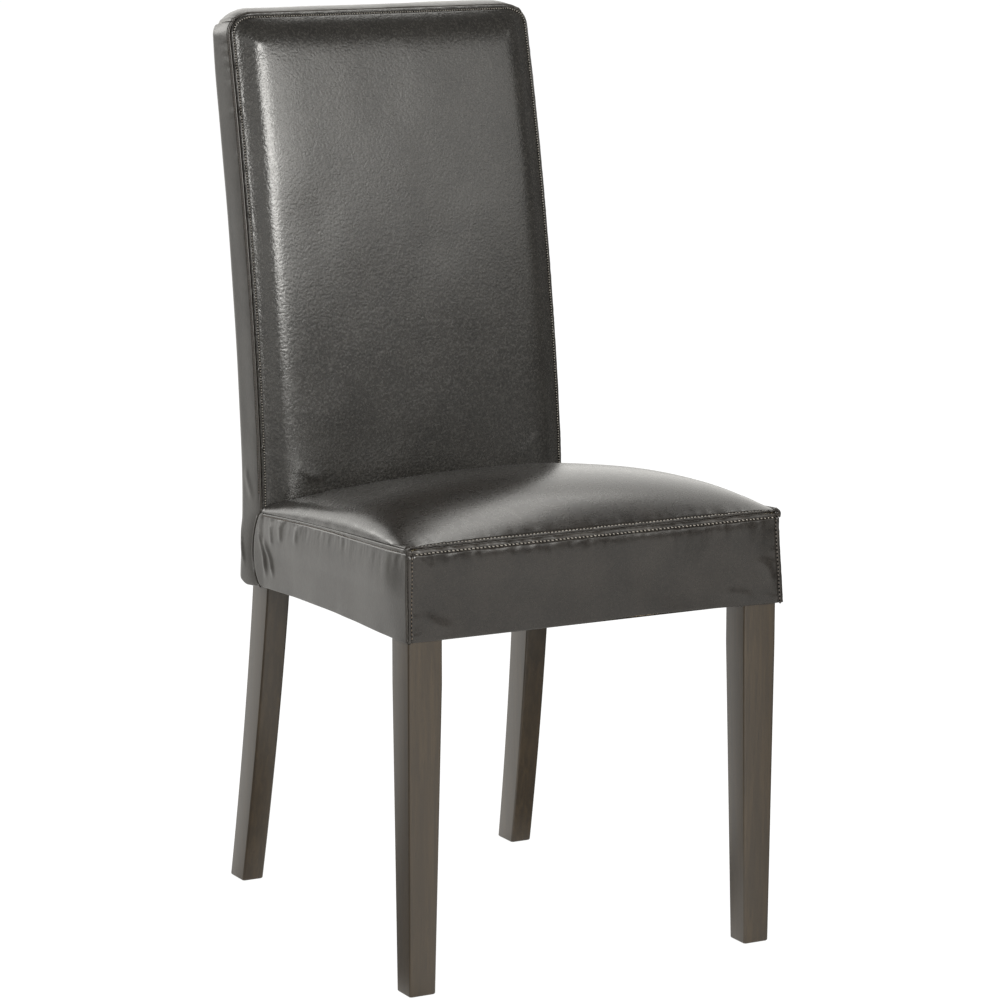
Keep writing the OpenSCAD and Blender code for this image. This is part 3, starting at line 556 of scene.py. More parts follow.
HARDBOARD = wood("hardboard", (0.20, 0.125, 0.07, 1), (0.33, 0.22, 0.13, 1),
                 rough=0.8, grain_scale=(300, 300, 300))
STEEL = steel("screw_steel")
WEBBING = cloth("webbing", (0.025, 0.025, 0.026, 1), (0.10, 0.10, 0.10, 1), weave=220.0)
LINING = cloth("lining", (0.30, 0.28, 0.24, 1), (0.44, 0.42, 0.37, 1), weave=380.0)
DUST_CLOTH = cloth("dust_cloth", (0.012, 0.012, 0.012, 1), (0.035, 0.035, 0.036, 1), weave=520.0)
FOAM = foam("foam", (0.72, 0.60, 0.36, 1), (0.84, 0.75, 0.52, 1), cell=1100.0)
WADDING = foam("wadding", (0.70, 0.68, 0.63, 1), (0.86, 0.85, 0.81, 1), cell=500.0)
THREAD = thread("thread", (0.24, 0.215, 0.185, 1), (0.46, 0.43, 0.385, 1))
BROWN_THREAD = thread("brown_thread", (0.11, 0.082, 0.060, 1), (0.22, 0.175, 0.135, 1))
DARK_THREAD = thread("dark_thread", (0.075, 0.062, 0.052, 1), (0.17, 0.145, 0.125, 1))
# Near-black beads at the needle holes: painted shade that stands for the dark inside the holes
NEEDLE_HOLE_SHADE = thread("needle_hole_painted_shade", (0.002, 0.002, 0.002, 1), (0.004, 0.004, 0.004, 1), gloss=0.05)


# Pieces

def add_object(name, data):
    obj = bpy.data.objects.new(name, data)
    bpy.context.scene.collection.objects.link(obj)
    return obj


def new_piece(name, verts, faces, material, smooth=True):
    mesh = bpy.data.meshes.new(name)
    mesh.from_pydata([tuple(map(float, v)) for v in verts], [], [tuple(map(int, f)) for f in faces])
    mesh.validate()
    mesh.materials.append(material)
    if smooth:
        mesh.polygons.foreach_set("use_smooth", [True] * len(mesh.polygons))
    obj = add_object(name, mesh)
    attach(obj, "root")
    return obj


def border(rows, cols):
    """Places round a grid, counterclockwise as seen from outside, with the side of each."""
    order = [(0, i, "B") for i in range(cols - 1)] + [(j, cols - 1, "R") for j in range(rows - 1)]
    order += [(rows - 1, i, "T") for i in range(cols - 1, 0, -1)]
    return order + [(j, 0, "L") for j in range(rows - 1, 0, -1)]


def grid_faces(rows, cols):
    return [(k, k + 1, k + cols + 1, k + cols)
            for q in range(rows - 1) for k in range(q * cols, (q + 1) * cols - 1)]


def tube_faces(rings, size):
    """Faces of a tube of rings, closed at both ends."""
    faces = [(j * size + i, j * size + (i + 1) % size, (j + 1) * size + (i + 1) % size, (j + 1) * size + i)
             for j in range(rings - 1) for i in range(size)]
    return faces + [tuple(range(size - 1, -1, -1)), tuple(range((rings - 1) * size, rings * size))]


NEAR_SEAM = np.array([0, 3.7, 4.3, 4.9, 5.5, 6.1, 6.7, 7.4, 8.2, 9.2, 10.5, 12.2, 14.2]) / 1000
NEAR_BACK_SEAM = np.array([0, 2.3, 2.65, 3.0, 3.3, 3.6, 3.9, 4.3, 4.8, 5.5, 6.4, 7.6, 9.2, 11.4, 14.2]) / 1000


def stations(length, pitch=0.0022, near=NEAR_SEAM):
    """Distances along an edge, a pitch apart, but closer near both ends so that the seams' ridges have
    shape."""
    low, high = near[-1], length - near[-1]
    middle = np.linspace(low, high, max(3, round((high - low) / pitch) + 1))
    return np.concatenate([near, middle[1:-1], length - near[::-1]])


def unit(v):
    return v / np.maximum(1e-12, np.linalg.norm(v, axis=-1, keepdims=True))


class Panel:
    """One sewn panel: a grid of points, its columns running right and its rows up as seen from outside."""

    def __init__(self, a, b, place):
        self.a, self.b = a, b
        self.across, self.up = np.meshgrid(a, b)
        self.points = np.stack(np.broadcast_arrays(*place(self.across, self.up)), axis=-1).astype(float)
        self.rub = np.zeros(self.across.shape)

    def normals(self):
        du = np.gradient(self.points, axis=1)
        dv = np.gradient(self.points, axis=0)
        return unit(np.cross(du, dv))

    def room(self, side):
        """Distance of each point from one side, along the grid."""
        axis = 1 if side in "LR" else 0
        steps = np.linalg.norm(np.diff(self.points, axis=axis), axis=-1)
        run = np.insert(np.cumsum(steps, axis=axis), 0, 0, axis=axis)
        return run if side in "BL" else run.take([-1], axis=axis) - run

    def end_room(self):
        """Distance of each point from the nearer of the left and right side."""
        return np.minimum(self.room("L"), self.room("R"))

    def raise_by(self, height):
        self.points = self.points + self.normals() * height[..., None]

    def drape(self):
        self.points = drape(self.points)

    def at(self, a, b):
        """Points and normals on the panel at (a, b), between its grid's points."""
        i = np.clip(np.searchsorted(self.a, a) - 1, 0, len(self.a) - 2)
        j = np.clip(np.searchsorted(self.b, b) - 1, 0, len(self.b) - 2)
        ta = ((a - self.a[i]) / (self.a[i + 1] - self.a[i]))[:, None]
        tb = ((b - self.b[j]) / (self.b[j + 1] - self.b[j]))[:, None]

        def mix(grid):
            low = lerp(grid[j, i], grid[j, i + 1], ta)
            high = lerp(grid[j + 1, i], grid[j + 1, i + 1], ta)
            return lerp(low, high, tb)

        return mix(self.points), unit(mix(self.normals()))

    def build(self, name, material, slot, replaced, turns, radius=LIP_R):
        """Makes the closed shell. turns gives, for each side B, R, T and L, the direction in which the
        leather's edge goes in at its seam."""
        rows, cols = self.across.shape
        order = border(rows, cols)
        j, i = (np.array([o[k] for o in order]) for k in (0, 1))
        count = len(order)
        turn = np.array([turns[o[2]] for o in order], float)
        for k, before in ((0, "L"), (cols - 1, "B"), (cols + rows - 2, "R"), (2 * cols + rows - 3, "T")):
            turn[k] += np.array(turns[before], float)
        turn = unit(turn)
        edge = self.points[j, i]
        n = self.normals()[j, i]
        along = unit(np.roll(edge, -1, axis=0) - np.roll(edge, 1, axis=0))
        out = unit(np.cross(along, n))
        flat = unit(turn - along * np.sum(turn * along, axis=1, keepdims=True))
        down, ahead = (np.sum(flat * way, axis=1, keepdims=True) for way in (-n, out))
        angle = np.clip(np.arctan2(down, ahead), 0.35, 2.5)
        start = edge - out * radius * np.tan(angle / 2)
        grid = self.points.copy()
        grid[j, i] = start
        verts = [grid.reshape(-1, 3)]
        rub = [self.rub.ravel()]
        ring = j * cols + i
        faces = grid_faces(rows, cols)
        for s in range(1, LIP_STEPS + 2):
            theta = angle * min(s, LIP_STEPS) / LIP_STEPS
            level = start + out * radius * np.sin(theta) + n * radius * (np.cos(theta) - 1)
            if s > LIP_STEPS:
                level = level + (out * np.cos(theta) - n * np.sin(theta)) * LIP_TAIL
            verts.append(level)
            rub.append(np.full(count, 0.35 * (s < LIP_STEPS)))
            new_ring = rows * cols + (s - 1) * count + np.arange(count)
            ahead, new_ahead = np.roll(ring, -1), np.roll(new_ring, -1)
            faces += list(zip(ring, new_ring, new_ahead, ahead))
            ring = new_ring
        obj = new_piece(name, np.concatenate(verts), faces, material)
        layer = obj.data.attributes.new("rub", "FLOAT", "POINT")
        layer.data.foreach_set("value", np.concatenate(rub).astype(np.float32))
        shell = obj.modifiers.new("thickness", "SOLIDIFY")
        shell.thickness = LEATHER_T
        shell.offset = -1
        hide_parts(replaced)


def ridge(s, along, stitch, height=0.0008, groove=0.0006, pucker=0.0004, cell=0.0062, reach=0.010, seed=1,
          width=0.0009):
    """Relief beside a topstitched seam: its turned edges lie under the leather up to the stitches, which
    draw it in, and small puckers run out from them."""
    step = 1 - ease((s - stitch + 1.5 * width) / (2 * width))
    line = np.exp(-((s - stitch) / width) ** 2)
    fade = np.exp(-np.maximum(s - stitch, 0) / reach) * ease(s / stitch)
    waves = noise(along / cell, s / (4 * cell), seed) + 0.5 * noise(along / cell * 2.3, s / cell, seed + 5)
    return height * step - groove * line + pucker * fade * waves


def rubbed(s, along, stitch, seed=3):
    """Wear along a seam's ridge."""
    worn = 0.35 + 0.5 * noise(along / 0.018, s / 0.01, seed)
    return clamp((1 - ease((s - 0.6 * stitch) / stitch)) * worn)


def capsules(name, points, tangents, normals, length, width, sink, material, lift=1.0, sides=6,
             rings=5):
    """A row of short rounded pieces, such as stitches, lying on a surface."""
    turns = np.arange(sides) * 2 * math.pi / sides
    share, turn = np.meshgrid(np.linspace(-1, 1, rings), turns, indexing="ij")
    thick = width / 2 * np.sqrt(np.maximum(0.04, 1 - share ** 4))
    height = thick * lift * np.sin(turn) + width * 0.35 * (1 - share * share) - sink
    shape = np.stack([share * length / 2, thick * np.cos(turn), height], axis=-1).reshape(-1, 3)
    ways = np.stack([tangents, np.cross(normals, tangents), normals], axis=1)
    verts = (points[:, None] + shape @ ways).reshape(-1, 3)
    faces = [tuple(k * len(shape) + v for v in face)
             for k in range(len(points)) for face in tube_faces(rings, sides)]
    new_piece(name, verts, faces, material)


def stitch_row(name, panel, a, b, pitch, length, yarn=DARK_THREAD, width=0.0007, skew=0.0,
               slot="seat_leather", sink=0.0001):
    """Thread along the line (a, b) on a panel, a stitch every pitch, with near-black beads of painted shade
    where the needle holes lie.
    """
    line, _ = panel.at(a, b)
    run = np.concatenate([[0], np.cumsum(np.linalg.norm(np.diff(line, axis=0), axis=1))])
    count = int(run[-1] / pitch)

    def on_line(where):
        return panel.at(np.interp(where, run, a), np.interp(where, run, b))

    middle = (np.arange(count) + 0.5) * run[-1] / count
    points, normals = on_line(middle)
    tangents = unit(on_line(middle + 0.001)[0] - on_line(middle - 0.001)[0])
    tangents = unit(tangents - normals * np.sum(tangents * normals, axis=1, keepdims=True))
    wobble = np.random.RandomState(len(name) * 7 + count).normal(0, 0.05, count)[:, None] + skew
    turned = unit(tangents * np.cos(wobble) + np.cross(normals, tangents) * np.sin(wobble))
    capsules(name, points, turned, normals, length, width, sink, yarn)
    # Near-black beads between the stitches: painted shade for the needle holes
    points, normals = on_line(np.arange(count + 1) * run[-1] / count)
    capsules(name + "_painted_hole_shade", points, unit(np.gradient(points, axis=0)), normals, pitch - length + 0.0009,
             width * 1.7, width * 0.20 + sink, NEEDLE_HOLE_SHADE, lift=0.35)


# Camera, as the photograph was taken

CAMERA_AT = Vector((-2.0462, -3.8811, 1.2840))
CAMERA_LOOK = Vector((0.46459, 0.86613, -0.18435))
LENS = 146.09

camera_data = bpy.data.cameras.new("camera")
camera_data.lens = LENS
camera_data.sensor_width = 36
camera = add_object("camera", camera_data)
camera.location = CAMERA_AT
camera.rotation_mode = "QUATERNION"
camera.rotation_quaternion = CAMERA_LOOK.to_track_quat("-Z", "Y")
bpy.context.scene.camera = camera


# Back cushion: front cover

BACK_LOW_Z = SEAM_H - SEAM_FALL - 0.006
BACK_STITCH = 0.0042


def back_panel():
    half = band_half(SEAM_H)
    a = stations(2 * half, 0.0030, NEAR_BACK_SEAM) / half - 1
    b = BACK_LOW_Z + stations(FRONT_TOP - BACK_LOW_Z, 0.0026, NEAR_BACK_SEAM)

    def place(u, z):
        reach = band_half(z) + arch(z, FRONT_TOP, *FRONT_CORNER)
        # Near the edge the columns keep their distance from it
        room = (1 - np.abs(u)) * half
        share = reach / half
        x = np.sign(u) * np.maximum(reach - room * (share + (1 - share) * np.exp(-room / 0.03)), 0)
        x = np.where(np.abs(u) < 1e-9, 0, x)
        return x, back_y(z) - back_rise(x, z), z

    panel = Panel(a, b, place)
    x, _, z = axes(panel.points)
    s = edge_room(x, z)
    along = np.where(FRONT_TOP - z < band_half(z) - np.abs(x), x + 3, np.sign(x) * 5 + z)
    relief = ridge(s, along, BACK_STITCH, height=0.0004, groove=0.0004, pucker=0.00015, cell=0.0075, seed=2,
                   width=0.0008)
    relief += 0.0006 * ease((s - 0.02) / 0.03) * noise(x / 0.055, z / 0.075, 4)
    relief += folds(x, z, BACK_FOLDS)
    panel.raise_by(relief)
    panel.rub = rubbed(s, along, BACK_STITCH)
    return panel


BACK_FOLDS = [
    # start (x, z), end (x, z), width, height
    ((-0.176, 0.972), (-0.150, 0.950), 0.005, 0.0010),
    ((0.172, 0.972), (0.150, 0.952), 0.005, 0.0008),
    ((-0.160, 0.500), (-0.120, 0.475), 0.006, 0.0008),
    ((0.158, 0.505), (0.125, 0.478), 0.006, 0.0008),
]

back_front = back_panel()
back_front.build("back_cover_front", BACK_LEATHER, "back_leather", "back_front_cover",
                 {"B": (0, 1, 0), "R": (-1, 1, 0), "T": (0, 1, -1), "L": (1, 1, 0)}, radius=0.0015)


def back_line(inset):
    """The line on the back's front cover that far inside its seam, up one side and down the other."""
    a, b = FRONT_CORNER
    top = FRONT_TOP - b
    heights = np.linspace(BACK_LOW_Z + 0.012, top, 80)
    arc = np.radians(np.linspace(0, 90, 12))
    x = np.concatenate([band_half(heights) - inset, band_half(top) - a + (a - inset) * np.cos(arc)])
    z = np.concatenate([heights, top + (b - inset) * np.sin(arc)])
    return np.concatenate([-x, x[::-1]]), np.concatenate([z, z[::-1]])


def back_params(panel, x, z):
    """Grid parameters of the points (x, z) on the back's front cover."""
    rows = np.clip(np.searchsorted(panel.b, z), 0, len(panel.b) - 1)
    return [np.interp(reach, panel.points[row, :, 0], panel.a) for reach, row in zip(x, rows)], z


line_a, line_b = back_params(back_front, *back_line(BACK_STITCH))
stitch_row("back_stitches", back_front, line_a, line_b, pitch=0.0030, length=0.0017, yarn=THREAD,
           width=0.0010, slot="back_leather", sink=-0.0004)


# Back: side bands, top band and rear cover, a boxing that runs round the back's outline

def boxing(share, front, flat_end):
    """Across the boxing, from its front seam at share 0 to its rear seam at 1: the depth, the share of its
    puff that it has there, and how far it has turned in round the rear edge."""
    flat = flat_end - front
    run = share * (flat + REAR_EDGE_R * math.pi / 4)
    turn = np.maximum(0, run - flat) / REAR_EDGE_R
    depth = front + np.minimum(run, flat) + REAR_EDGE_R * np.sin(turn)
    puff = 1 - (1 - clamp(run / PUFF_W)) ** 3.6
    return depth, puff, REAR_EDGE_R * (1 - np.cos(turn))


def corner_at(depth):
    """Size of the outline's upper corner at a depth, and the angle at which its seam lies on it."""
    share = clamp((depth - SEAM_BACK) / (BACK_T - SEAM_BACK))
    wide, tall = (lerp(f, r, share) for f, r in zip(FRONT_CORNER, REAR_CORNER))
    return wide, tall, lerp(SEAM_ANGLE_FRONT, SEAM_ANGLE_REAR, share)


def flat_end(z):
    return BACK_T - REAR_EDGE_R - top_roll(z)


BAND_STITCH = 0.0048
TOP_STITCH = 0.0048
TOP_SAG = 0.0012
HEM_CORNER = 0.014

# A side panel's front and rear edge, as seen from outside
FRONT_REAR = {-1: "RL", 1: "LR"}


def side_turns(side, low, high, front, rear):
    front_edge, rear_edge = FRONT_REAR[side]
    return {"B": low, "T": high, front_edge: front, rear_edge: rear}


def hem_lift(depth):
    """Share of its lift that the hem has at a depth, where it rounds up to the back's rear corner."""
    return clamp((depth - BACK_T) / 0.030 + 1) ** 1.5


def side_band(side):
    """Left band for side -1, right band for side 1. Columns run from its rear seam to its front seam on
    the left, and the other way on the right."""
    wide, tall = FRONT_CORNER
    arc_z = FRONT_TOP - tall
    low = hem_z(BACK_Y0)
    straight = stations(arc_z - low, 0.0026)[:-1]
    arc = np.linspace(0, SEAM_ANGLE_FRONT * tall, 8)
    b = np.concatenate([straight, (arc_z - low) + arc])
    a = stations(BACK_T) / BACK_T

    def place(u, p):
        share = u if side > 0 else 1 - u
        rising = clamp(p / (arc_z - low))
        round_share = np.maximum(0, p - (arc_z - low)) / (SEAM_ANGLE_FRONT * tall)
        guess = lerp(low, arc_z, rising)
        front = np.where(guess < seam_z(BACK_Y0), side_end(guess), SEAM_BACK)
        angle0 = round_share * SEAM_ANGLE_FRONT
        ring_x = band_half(arc_z) - wide + wide * np.cos(angle0)
        front = np.where(round_share > 0, -back_rise(ring_x, arc_z + tall * np.sin(angle0)), front)
        depth, puff, turned = boxing(share, front, flat_end(guess))
        a_here, b_here, seam_angle = corner_at(depth)
        centre_z = FRONT_TOP - b_here
        angle = round_share * seam_angle
        out = puff * lerp(SIDE_PUFF, TOP_PUFF, angle / (math.pi / 2)) - turned
        foot = hem_z(BACK_Y0 + depth) + HEM_CORNER * hem_lift(depth)
        z = lerp(foot, centre_z, rising) + (b_here + out) * np.sin(angle)
        half = band_half(np.minimum(z, centre_z))
        x = half - a_here + (a_here + out) * np.cos(angle)
        return side * x, back_y(z) + depth, z

    panel = Panel(a, b, place)
    z = panel.points[..., 2]
    share = panel.across if side > 0 else 1 - panel.across
    front_room, rear_room = (panel.room(edge) for edge in FRONT_REAR[side])
    above = ease((z - SEAM_H + 0.03) / 0.03)
    relief = above * ridge(front_room, z, BAND_STITCH, height=0.0006, groove=0.0006, pucker=0.0003, seed=11)
    relief -= 0.0004 * np.exp(-(rear_room / 0.004) ** 2)
    relief += 0.0005 * noise(share * 1.6, z / 0.07, 8) * np.sin(np.pi * share)
    relief += folds(share * BACK_T, z, SIDE_FOLDS)
    panel.raise_by(relief)
    panel.rub = np.maximum(rubbed(front_room, z, 0.004, 5), rubbed(rear_room, z, 0.003, 6)) * 0.8
    panel.drape()
    return panel


SIDE_FOLDS = [
    # start (depth, z), end (depth, z), width, height
    ((0.030, 0.375), (0.060, 0.430), 0.006, 0.0012),
    ((0.020, 0.452), (0.045, 0.490), 0.006, 0.0008),
]


def top_band():
    wide, tall = FRONT_CORNER
    flat_half = band_half(FRONT_TOP - tall) - wide
    rest_angle = math.pi / 2 - SEAM_ANGLE_FRONT
    arc = rest_angle * tall
    length = 2 * (flat_half + arc)
    a = stations(length, 0.0030) - length / 2
    b = stations(BACK_T) / BACK_T

    def place(p, share):
        round_share = np.maximum(0, np.abs(p) - flat_half) / arc
        over0 = round_share * rest_angle
        ring_x = np.minimum(np.abs(p), flat_half) + wide * np.sin(over0)
        front = -back_rise(ring_x, FRONT_TOP - tall + tall * np.cos(over0))
        depth, puff, turned = boxing(share, front, flat_end(OVERALL_H))
        a_here, b_here, seam_angle = corner_at(depth)
        over = round_share * (math.pi / 2 - seam_angle)
        out = puff * lerp(TOP_PUFF, SIDE_PUFF, over / (math.pi / 2)) - turned
        flat = band_half(FRONT_TOP - b_here) - a_here
        along = np.minimum(np.abs(p), flat_half) / flat_half * flat
        z = FRONT_TOP - b_here + (b_here + out) * np.cos(over)
        x = np.sign(p) * (along + (a_here + out) * np.sin(over))
        return x, back_y(z) + depth, z

    panel = Panel(a, b, place)
    share = panel.up
    front_room, rear_room = panel.room("B"), panel.room("T")
    end_room = panel.end_room()
    x = panel.points[..., 0]
    relief = ridge(front_room, x, TOP_STITCH, height=0.0007, pucker=0.0003, seed=12)
    relief += ridge(rear_room, x, TOP_STITCH, height=0.0005, pucker=0.0003, seed=13)
    relief += 0.0009 * np.exp(-((end_room - 0.0045) / 0.0028) ** 2)
    relief += 0.0005 * noise(x / 0.05, share * 1.5, 14) - TOP_SAG * ease((share - 0.25) / 0.5)
    panel.raise_by(relief)
    panel.rub = np.maximum(rubbed(front_room, x, 0.004, 7), rubbed(rear_room, x, 0.004, 9))
    return panel


def rear_panel():
    turned = REAR_EDGE_R * (1 - math.cos(math.pi / 4))
    inset = turned - SIDE_PUFF
    wide, tall = REAR_CORNER[0] - inset, REAR_CORNER[1] - turned + TOP_PUFF
    half = band_half(SEAM_H)
    low = hem_z(BACK_Y0 + BACK_T)
    high = FRONT_TOP + TOP_PUFF - TOP_SAG - turned
    a = stations(2 * half, 0.0040) / half - 1
    straight = stations(high - tall - low, 0.0034)[:-1]
    arc = high - tall - low + tall * np.sin(np.linspace(0, np.pi / 2, 22))
    b = low + np.concatenate([straight, arc])

    def place(u, z):
        corner = HEM_CORNER * hem_lift(BACK_T - turned) * ease((np.abs(u) - 0.80) / 0.20)
        z = z + corner * (1 - ease((z - low) / 0.10))
        reach = band_half(np.minimum(z, high - tall)) - inset + arch(z, high, wide, tall)
        room = np.minimum((1 - np.abs(u)) * reach, high - z) + turned
        edge = REAR_EDGE_R - np.sqrt(REAR_EDGE_R ** 2 - np.maximum(0, REAR_EDGE_R - room) ** 2)
        return -u * reach, back_y(z) + BACK_T - top_roll(z) - edge, z

    panel = Panel(a, b, place)
    x, _, z = axes(panel.points)
    room = np.minimum(panel.end_room(), panel.room("T"))
    relief = 0.0030 * ease(room / 0.07) * ease((z - low) / 0.06)
    relief += 0.0010 * noise(x / 0.07, z / 0.13, 21) * ease(room / 0.05)
    relief += 0.0005 * noise(x / 0.022, z / 0.09, 22) * np.exp(-room / 0.03) * ease(room / 0.006)
    relief -= 0.0005 * np.exp(-(room / 0.004) ** 2)
    panel.raise_by(relief)
    panel.rub = rubbed(room, x + z, 0.003, 15) * 0.8
    panel.drape()
    return panel


SIDES = ((-1, "left"), (1, "right"))
bands = {}
for side, name in SIDES:
    bands[side] = side_band(side)
    bands[side].build(f"back_cover_side_{name}", PANEL_LEATHER, "back_leather", f"back_side_band_{name}",
                      side_turns(side, (-side, 0, 0), (-side, 0, -0.45), (-side, 1, 0), (-side, -1, 0)))

top = top_band()
top.build("back_cover_top", PANEL_LEATHER, "back_leather", "back_top_band",
          {"B": (0, 1, -1), "T": (0, -1, -1), "R": (-1, 0, -0.45), "L": (1, 0, -0.45)})
rear_panel().build("back_cover_rear", PANEL_LEATHER, "back_leather", "back_rear_cover",
                   {"B": (0, -1, 0), "T": (0, -1, -1), "R": (1, -1, 0), "L": (-1, -1, 0)})


# Seat: top cover, front border and side borders

SEAT_STITCH = 0.0046
BORDER_STITCH = 0.0062
SIDE_STITCH = 0.0048
BORDER_H = SEAM_H - HEM_H


def across_stations(count):
    """Values of u from -1 to 1, evenly spaced along the crown's arched section."""
    dense = closer_at_ends(4001)
    width = SEAT_W / 2 * dense
    height = 0.75 * SEAT_CROWN * np.maximum(0, 1 - np.abs(dense) ** CROWN_ACROSS) ** CROWN_SIDE
    run = np.concatenate([[0], np.cumsum(np.hypot(np.diff(width), np.diff(height)))])
    wanted = stations(run[-1], run[-1] / count)
    return np.interp(wanted, run, dense)


def seat_top_panel():
    panel = Panel(across_stations(190), stations(COVER_D, 0.0036) / COVER_D, seat_place)
    x, y, _ = axes(panel.points)
    front_room = panel.room("B")
    side_room = panel.end_room()
    relief = ridge(front_room, x, SEAT_STITCH, height=0.0011, groove=0.0012, pucker=0.0005, cell=0.0070,
                   reach=0.008, seed=31, width=0.0008)
    relief *= ease(side_room / 0.006)
    relief += 0.0008 * noise(x / 0.075, y / 0.09, 33) * ease(front_room / 0.04) * ease(side_room / 0.03)
    fade = np.exp(-side_room / 0.012) * ease(side_room / 0.004) * ease(front_room / 0.02)
    relief += 0.0006 * noise(y / 0.016, side_room / 0.05, 34) * fade
    relief += folds(x, y, SEAT_FOLDS)
    panel.raise_by(relief)
    panel.rub = np.maximum(rubbed(front_room, x, SEAT_STITCH, 16), rubbed(side_room, y, 0.0025, 17))
    return panel


SEAT_FOLDS = [
    # start (x, y), end (x, y), width, height
    ((0.105, 0.055), (0.160, 0.085), 0.006, 0.0010),
    ((0.095, 0.035), (0.165, 0.060), 0.007, 0.0009),
    ((-0.150, 0.070), (-0.110, 0.088), 0.006, 0.0009),
]


def front_border_panel():
    a = stations(2 * COVER_HALF) - COVER_HALF
    b = stations(BORDER_H, 0.0024) / BORDER_H

    def place(x, t):
        z = lerp(HEM_H, SEAM_H, t)
        bulge = 0.0042 * np.sin(np.pi * clamp(1 - (SEAM_H - z) / 0.062) ** 2.2)
        bulge = bulge * ease((COVER_HALF - np.abs(x)) / 0.045)
        return x, COVER_FRONT_Y - bulge, z

    panel = Panel(a, b, place)
    x, _, z = axes(panel.points)
    top_room, hem_room = panel.room("T"), panel.room("B")
    side_room = panel.end_room()
    relief = ridge(top_room, x, BORDER_STITCH, height=0.0010, groove=0.0012, pucker=0.0007, cell=0.0078,
                   reach=0.013, seed=41, width=0.0008) * ease(side_room / 0.006)
    relief += ridge(side_room, z, BORDER_STITCH, height=0.0009, groove=0.0009, pucker=0.0005, seed=42)
    slant = x + 0.6 * top_room
    fade = np.exp(-top_room / 0.022) * ease((top_room - BORDER_STITCH) / 0.004)
    relief += 0.0007 * noise(slant / 0.013, top_room / 0.05, 43) * fade
    relief += 0.0010 * noise(x / 0.060, z / 0.045, 44)
    relief += 0.0007 * noise(x / 0.030, 0.5, 45) * np.exp(-hem_room / 0.014)
    relief += folds(x, z, FRONT_FOLDS)
    panel.raise_by(relief * ease(side_room / 0.0015))
    panel.rub = np.maximum(rubbed(top_room, x, BORDER_STITCH, 18),
                           rubbed(side_room, z, BORDER_STITCH, 19))
    panel.drape()
    return panel


FRONT_FOLDS = [
    # start (x, z), end (x, z), width, height
    ((-0.205, 0.405), (-0.170, 0.388), 0.006, 0.0010),
    ((0.212, 0.395), (0.192, 0.430), 0.006, 0.0012),
    ((0.190, 0.383), (0.150, 0.392), 0.005, 0.0008),
    ((-0.212, 0.466), (-0.190, 0.452), 0.004, 0.0009),
]


def side_border_panel(side):
    a = stations(COVER_D) / COVER_D
    b = stations(BORDER_H, 0.0024) / BORDER_H

    def place(u, t):
        share = u if side > 0 else 1 - u
        low, high = hem_z(BACK_Y0), seam_z(BACK_Y0)
        y = lerp(COVER_FRONT_Y, BACK_Y0 + side_end(lerp(low, high, t)), share)
        z = lerp(hem_z(y), seam_z(y), t)
        bulge = 0.0026 * np.sin(np.pi * clamp((t - 0.42) / 0.58)) ** 1.4
        bulge = bulge * ease(share / 0.12) * ease((1 - share) / 0.12)
        return side * (seat_half(y) + bulge), y, z

    panel = Panel(a, b, place)
    _, y, z = axes(panel.points)
    top_room, hem_room = panel.room("T"), panel.room("B")
    end_room = panel.end_room()
    relief = ridge(top_room, y, SIDE_STITCH, height=0.0011, groove=0.0011, pucker=0.0006, cell=0.0080,
                   reach=0.012, seed=51, width=0.0008) * ease(end_room / 0.006)
    fade = np.exp(-np.maximum(0, top_room - 0.006) / 0.016) * ease((top_room - 0.004) / 0.006)
    rear = lerp(0.20, 1, ease((y + 0.06) / 0.12))
    relief += 0.0009 * noise(y / 0.011 + 3 * z / 0.10, z / 0.05, 52) * fade * rear
    relief += 0.0007 * noise(y / 0.032, z / 0.08, 55) * np.exp(-top_room / 0.04) * rear
    relief += 0.0009 * noise(y / 0.085, z / 0.07, 53)
    relief += 0.0007 * noise(y / 0.030, 0.5, 54) * np.exp(-hem_room / 0.014)
    relief += folds(y, z, BORDER_FOLDS)
    panel.raise_by(relief * ease(end_room / 0.0015))
    panel.rub = np.maximum(rubbed(top_room, y, SIDE_STITCH, 23), rubbed(end_room, z, 0.0025, 24))
    panel.drape()
    return panel


BORDER_FOLDS = [
    # start (y, z), end (y, z), width, height
    ((0.146, 0.430), (0.122, 0.366), 0.0045, 0.0026),
    ((0.130, 0.418), (0.100, 0.370), 0.0042, 0.0020),
    ((0.108, 0.438), (0.100, 0.408), 0.0045, 0.0012),
    ((0.078, 0.442), (0.072, 0.416), 0.0050, 0.0011),
    ((0.030, 0.446), (0.026, 0.424), 0.0050, 0.0009),
]

seat_top = seat_top_panel()
seat_top.build("seat_cushion", SEAT_LEATHER, "seat_leather", "seat_top_cover",
               {"B": (0, 1, -0.75), "T": (0, 0, -1), "R": (-1, 0, 0), "L": (1, 0, 0)})
front_border = front_border_panel()
front_border.build("seat_border_front", SEAT_LEATHER, "panel_leather", "seat_front_border",
                   {"B": (0, 1, 0), "T": (0, 1, -0.75), "R": (-1, 1, 0), "L": (1, 1, 0)})
borders = {}
for side, name in SIDES:
    borders[side] = side_border_panel(side)
    inward = (-side, 0, 0)
    borders[side].build(f"seat_border_{name}", PANEL_LEATHER, "panel_leather", f"seat_side_border_{name}",
                        side_turns(side, inward, inward, (-side, 1, 0), inward))


